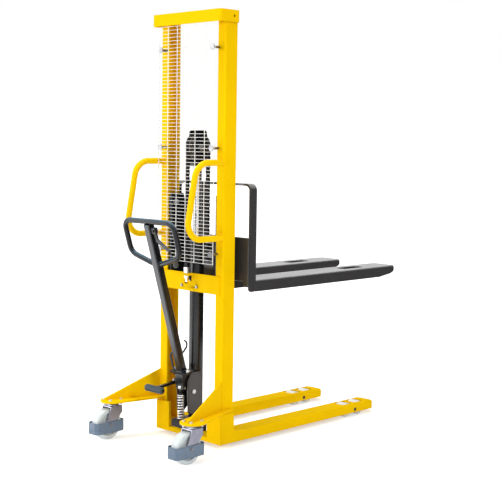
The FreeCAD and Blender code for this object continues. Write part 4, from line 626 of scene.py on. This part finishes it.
AXLE_RADIUS, AXLE_END, HEAD_SEAT = 6, 6, 6.2
for name in ("right", "left"):
    low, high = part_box("caster_axle_" + name)
    half = (high[1] - low[1]) * 500
    centre = (Vector(low) + Vector(high)) / 2
    tip = half - AXLE_END
    bm = bmesh.new()
    turned(bm, centre, (0, 1, 0), [(0, -tip), (AXLE_RADIUS, -tip), (AXLE_RADIUS, tip), (0, tip)], 16)
    for way in (-1, 1):
        seat = centre + Vector((0, way * (half - HEAD_SEAT) / 1000, 0))
        hexagon_head(bm, seat, (0, way, 0), across=14, height=4.6, washer=1.4)
    add_piece("caster_axle_bolt_" + name, bm, "roller_steel", "caster_" + name, ["caster_axle_" + name])

# %% [markdown]
# ## Seals and covers
# Wheels run on bearings with a thin steel cover at each hub face, and the lift cylinder has a rubber wiper round the
# ram. All are thin turned rings, each spun from a section of radius and height.

# %% Rings
COVER = [(8, 0), (17, 0), (17, 0.6), (16.2, 1.0), (9.5, 1.0), (8, 0.4)]
WIPER = [(20.4, 0), (27, 0), (27, 2), (24, 4.5), (21.2, 5), (20.4, 3.5)]
for side in ("right", "left"):
    node = "caster_wheel_" + side
    low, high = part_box(node)
    centre = (Vector(low) + Vector(high)) / 2
    half = (high[1] - low[1]) * 500
    bm = bmesh.new()
    for way in (-1, 1):
        turned(bm, centre + Vector((0, way * half / 1000, 0)), (0, way, 0), COVER, 28)
    add_piece("caster_bearings_" + side, bm, "zinc", node)

bm = bmesh.new()
turned(bm, mast(38.5, 0, 976), (0, 0, 1), WIPER, 36)
add_piece("ram_wiper", bm, "rubber", "chassis")

# %% [markdown]
# ## Return spring
# The spring that lifts the pump plunger is one wire, wound evenly, with the turn at each end closed against its
# seat. The points climb by the angle, slowly in the end turns. It shortens as the plunger goes down; the piece
# keeps its rest length and rides on the chassis.

# %% Wound wire
SPRING_TURNS, CLOSED_TURNS, TURN_STEPS = 9.75, 0.75, 28
WIRE_RADIUS, CLOSED_PITCH = 3.0, 2.05
low, high = (Vector(corner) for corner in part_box("pump_spring"))
centre, coil = (low + high) / 2, (high.x - low.x) / 2 - WIRE_RADIUS / 1000
foot, rise = low.z + WIRE_RADIUS / 1000, high.z - low.z - 2 * WIRE_RADIUS / 1000
closed_rise = CLOSED_TURNS * CLOSED_PITCH * WIRE_RADIUS / 1000
coil_points = []
for step in range(round(SPRING_TURNS * TURN_STEPS) + 1):
    done = step / TURN_STEPS
    share = min(max((done - CLOSED_TURNS) / (SPRING_TURNS - 2 * CLOSED_TURNS), 0), 1)
    ends = min(done, CLOSED_TURNS) + max(done - SPRING_TURNS + CLOSED_TURNS, 0)
    height = share * (rise - 2 * closed_rise) + ends / CLOSED_TURNS * closed_rise
    angle = 2 * math.pi * done
    coil_points.append(Vector((centre.x + coil * math.cos(angle), coil * math.sin(angle), foot + height)))
bm = bmesh.new()
tube(bm, coil_points, WIRE_RADIUS, 12)
return_spring = add_piece("return_spring", bm, "spring_steel", "chassis", ["pump_spring"])
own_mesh(return_spring)

# %% [markdown]
# ## Handle hook and release rod
# A bent hook on the shaft holds the handle up against the cylinder, and a thin rod beside the shaft's foot works the
# lowering valve. Both are bars drawn along a bent line, whose corners a short curve rounds off.

# %% Bent rods
HOOK_RADIUS, ROD_RADIUS, BEND_STEPS = 4.4, 5.2, 5


def bent(corners, radius=9.0):
    """Points along straight runs whose corners are rounded by short curves."""
    points = [corners[0]]
    for before, corner, after in zip(corners, corners[1:], corners[2:]):
        entry = corner + (before - corner).normalized() * (radius / 1000)
        leave = corner + (after - corner).normalized() * (radius / 1000)
        for step in range(BEND_STEPS + 1):
            share = step / BEND_STEPS
            points.append(entry * (1 - share) ** 2 + corner * (2 * share * (1 - share)) + leave * share ** 2)
    return points + [corners[-1]]


bm = bmesh.new()
hook = [handle(17, 0, 78), handle(34, 0, 82), mast(-22, 0, 470), mast(-24, 0, 492), mast(-40, 0, 502)]
tube(bm, bent(hook), HOOK_RADIUS)
turned(bm, handle(18, 0, 78), HANDLE_OUT, [(0, 0), (8, 0), (8, 3), (6, 5), (0, 5)], 14)
add_piece("handle_hook", bm, "lever_black", "handle")
bm = bmesh.new()
tube(bm, bent([handle(-14, 14, 104), handle(-19, 34, 86), handle(-19, 34, -14)], radius=12), ROD_RADIUS)
for along in (0.5, -16):
    turned(bm, handle(-19, 34, along), HANDLE_UP, [(0, 0), (8, 0), (8, 4), (7, 5), (0, 5)], 6)
add_piece("release_rod", bm, "lever_black", "handle")

# %% [markdown]
# ## Weld beads
# The mast, arms, carriage and handle are welded. A bead is a row of overlapping drops, so it is a thin bar whose
# radius swells and shrinks every few millimetres, half sunk in the corner that it fills and painted over.

# %% Bead shapes
BEAD_RADIUS, NARROW, DROP, RING_STEP = 2.6, 0.82, 3.2, 1.7


def rippled(count, radius):
    """Radii that swell and shrink from point to point."""
    return [radius * (1.0 if step % 2 else NARROW) for step in range(count)]


def bead(bm, first, second, radius=BEAD_RADIUS):
    """A straight bead between two points."""
    length = (second - first).length * 1000
    steps = max(4, round(length / DROP * 2))
    points = [first.lerp(second, step / steps) for step in range(steps + 1)]
    tube(bm, points, rippled(len(points), radius), 6)


def bead_ring(bm, centre, first, second, radius, start=0.0, end=360.0):
    """A bead along an arc about a centre, in the plane of two unit directions."""
    count = max(8, round(math.radians(end - start) * radius / RING_STEP))
    whole = end - start >= 360
    angles = [math.radians(start + (end - start) * step / count) for step in range(count + (not whole))]
    points = [centre + (first * math.cos(a) + second * math.sin(a)) * (radius / 1000) for a in angles]
    tube(bm, points, rippled(len(points), BEAD_RADIUS), 6, whole)


def mast_beads(bm, way, ends, radius=BEAD_RADIUS):
    """Straight beads on one side of the machine, from the ends of those on the left."""
    for (x, y, z), (to_x, to_y, to_z) in ends:
        bead(bm, mast(x, way * y, z), mast(to_x, way * to_y, to_z), radius)


# %% Beads on the chassis
SIDEWAYS, UPWARDS = Vector((0, 1, 0)), Vector((0, 0, 1))
CHASSIS_BEADS = (
    ((8, 228, 190), (74, 228, 190)), ((-0.5, 215, 190), (-0.5, 184, 190)), ((-0.5, 217, 192), (-0.5, 217, 322)),
    ((-6, 218.8, 190.5), (-195, 275.3, 190.5)), ((-6, 227.8, 190.5), (-195, 284.3, 190.5)),
    ((-0.5, 206.5, 744), (-0.5, 206.5, 827)), ((77.5, 178, 71.5), (77.5, 222, 71.5)),
    ((4, 228, 167.5), (73, 228, 167.5)), ((-0.5, 178, 167.5), (-0.5, 222, 167.5)))
GRAB_ENDS = (1013, 1367)
bm = bmesh.new()
for way in (-1, 1):
    for z in GRAB_ENDS:
        bead_ring(bm, mast(0, way * 216, z), SIDEWAYS * way, UPWARDS, radius=15, start=50, end=310)
    mast_beads(bm, way, CHASSIS_BEADS)
add_piece("chassis_welds", bm, "yellow_paint", "chassis", sharp=60)

# %% Beads on the carriage, handle and bracket
CARRIAGE_BEADS = (
    ((128.5, 118, 806.5), (128.5, 262, 806.5)), ((128.5, 114.5, 778), (128.5, 114.5, 804)),
    ((128.5, 264.5, 812), (128.5, 264.5, 1008)),
    ((128.5, 70.5, 933), (128.5, 70.5, 1008)), ((131, 70.5, 1257.5), (168, 70.5, 1257.5)),
    ((128.5, 79.5, 933), (128.5, 79.5, 1008)), ((131, 79.5, 1257.5), (168, 79.5, 1257.5)))
bm = bmesh.new()
for way in (-1, 1):
    mast_beads(bm, way, CARRIAGE_BEADS)
add_piece("carriage_welds", bm, "black_paint", "carriage", sharp=60)

SHAFT_CORNERS = ((-19, -19), (19, -19), (19, 19), (-19, 19))
bm = bmesh.new()
for way in (-1, 1):
    bead_ring(bm, handle(0, way * 19.5, 550), HANDLE_OUT, HANDLE_UP, radius=13.5)
    bead(bm, handle(-12, way * 19.2, 752), handle(12, way * 19.2, 752), radius=2.2)
for first, second in zip(SHAFT_CORNERS, SHAFT_CORNERS[1:] + SHAFT_CORNERS[:1]):
    bead(bm, handle(*first, 0.5), handle(*second, 0.5), radius=2.4)
add_piece("handle_welds", bm, "grey_paint", "handle", sharp=60)

bm = bmesh.new()
for way in (-1, 1):
    mast_beads(bm, way, (((47.5, 35.2, 196), (47.5, 35.2, 343)),), radius=2.4)
add_piece("bracket_welds", bm, "grey_paint", "chassis", sharp=60)

# %% [markdown]
# ## Studio
# The machine stands on a pale floor in a white room. The camera and the glossy coats see the room as white, while its
# light on the object stays at a plain level. The floor is a little luminous to the camera, more so further out, so
# that it fades into the room and only the shadow shows.

# %% Floor
FLOOR_HALF = 40
FADE_FROM, FADE_TO = 1.6, 4.0
NEAR_GLOW, ADDED_GLOW = 0.42, 0.7
floor_mesh = bpy.data.meshes.new("floor")
floor_mesh.from_pydata([(x * FLOOR_HALF, y * FLOOR_HALF, 0) for x, y in ((-1, -1), (1, -1), (1, 1), (-1, 1))],
                       [], [(0, 1, 2, 3)])
floor = bpy.data.objects.new("floor", floor_mesh)
scene.collection.objects.link(floor)
pale = Finish("pale_floor", Roughness=0.9, Specular_IOR_Level=0.0, Emission_Strength=1.0)
seen = 0
for ray in ("Is Camera Ray", "Is Glossy Ray", "Is Transmission Ray"):
    seen = pale.node("ShaderNodeLightPath", output=ray) + seen
reach = pale.node("ShaderNodeVectorMath", {"operation": "LENGTH"}, {0: pale.place()}, "Value")
glow = (pale.ramp(reach, FADE_FROM, FADE_TO) * ADDED_GLOW + NEAR_GLOW) * pale.ramp(seen, 0.0, 1.0)
pale.set(Base_Color=pale.mix(pale.noise(0.4), (0.92, 0.92, 0.92, 1), (0.94, 0.94, 0.94, 1)),
         Emission_Color=pale.mix(glow, (0, 0, 0, 1), (1, 1, 1, 1)))
floor_mesh.materials.append(pale.material)
print("floor laid")

# %% Room
ROOM_LIGHT = 0.36
world = bpy.data.worlds.new("room")
scene.world = world
world.use_nodes = True
tree = world.node_tree
room = tree.nodes["Background"]
backdrop = tree.nodes.new("ShaderNodeBackground")
backdrop.inputs["Color"].default_value = (1, 1, 1, 1)
room.inputs["Color"].default_value = (1, 1, 1, 1)
room.inputs["Strength"].default_value = ROOM_LIGHT
path = tree.nodes.new("ShaderNodeLightPath")
share = path.outputs["Is Camera Ray"]
for ray in ("Is Glossy Ray", "Is Transmission Ray"):
    either = tree.nodes.new("ShaderNodeMath")
    either.operation = "MAXIMUM"
    tree.links.new(share, either.inputs[0])
    tree.links.new(path.outputs[ray], either.inputs[1])
    share = either.outputs[0]
blend = tree.nodes.new("ShaderNodeMixShader")
tree.links.new(share, blend.inputs[0])
tree.links.new(room.outputs[0], blend.inputs[1])
tree.links.new(backdrop.outputs[0], blend.inputs[2])
tree.links.new(blend.outputs[0], tree.nodes["World Output"].inputs["Surface"])
print("room light:", ROOM_LIGHT)

# %% [markdown]
# ## Cards
# Dark paint is drawn by what it mirrors. A black card stands out on the right and a bright one lies on the floor at
# the left, where only reflections see them. They keep the right sides of the dark pieces dark and the left sides
# bright, as a photographer's cards do.

# %% Cards
CARD_FOOT, CARD_REACH, CARD_TOP, CARD_STEPS = 1.7, 3.2, 3.0, 12
CARD_FROM, CARD_SWEEP = -100, 118
OVER_FLOOR = 0.01
turn_by = [math.radians(CARD_FROM + CARD_SWEEP * step / CARD_STEPS) for step in range(CARD_STEPS + 1)]
corners = [(reach * math.cos(angle), reach * math.sin(angle), z)
           for angle in turn_by for reach, z in ((CARD_FOOT, OVER_FLOOR), (CARD_REACH, CARD_TOP))]
card_mesh = bpy.data.meshes.new("black_card")
card_mesh.from_pydata(corners, [], [(2 * s, 2 * s + 2, 2 * s + 3, 2 * s + 1) for s in range(CARD_STEPS)])
felt = Finish("black_felt", Specular_IOR_Level=0.0, Roughness=1.0)
felt.set(Base_Color=felt.mix(felt.noise(30.0, 3.0), (0.015, 0.015, 0.015, 1), (0.03, 0.03, 0.03, 1)))
card_mesh.materials.append(felt.material)

glow_mesh = bpy.data.meshes.new("bright_card")
glow_mesh.from_pydata([(x, y, OVER_FLOOR) for x, y in ((-3.4, 0.5), (-1.0, 0.5), (-1.0, 3.2), (-3.4, 3.2))],
                      [], [(0, 1, 2, 3)])
# The bright card is no lamp but glows by its own emission. Only reflections see it, and there it brightens the left
# sides of the dark pieces.
glow_panel = Finish("glowing_card", Specular_IOR_Level=0.0, Emission_Strength=2.3)
glow_panel.set(Emission_Color=glow_panel.mix(glow_panel.noise(1.5), (0.9, 0.92, 1.0, 1), (1.0, 1.0, 1.0, 1)))
glow_mesh.materials.append(glow_panel.material)
for mesh in (card_mesh, glow_mesh):
    card = bpy.data.objects.new(mesh.name, mesh)
    scene.collection.objects.link(card)
    card.visible_camera = card.visible_diffuse = card.visible_shadow = card.visible_transmission = False
    print("%s: %d panels" % (mesh.name, len(mesh.polygons)))

# %% [markdown]
# ## Lamps
# Square area lamps stand in for a photographer's soft boxes: the larger the square, the softer its shadow. A large one
# stands on the left and another behind the operator. A small one on the right keeps the outer faces of the mast even,
# and the strongest hangs above, for the pale tops of the forks and the short shadow under the legs.

# %% Hang the lamps
def lamp(name, place, aim, size, watts):
    """A square area lamp that faces a point."""
    light = bpy.data.lights.new(name, "AREA")
    light.size, light.energy = size, watts
    obj = bpy.data.objects.new(name, light)
    scene.collection.objects.link(obj)
    obj.location = place
    obj.rotation_euler = (Vector(aim) - Vector(place)).to_track_quat("-Z", "Y").to_euler()
    print("%s lamp: %d W" % (name, watts))


lamp("left", (-4.6, 4.4, 2.0), (-0.4, 0, 1.0), 3.4, 130)
lamp("front", (-7.2, 1.2, 2.6), (-0.4, 0, 1.0), 2.8, 145)
lamp("right", (-1.5, -5.8, 3.3), (-0.2, 0, 0.7), 1.2, 132)
lamp("top", (-0.2, 0.4, 5.8), (0.1, 0, 0.6), 3.2, 250)
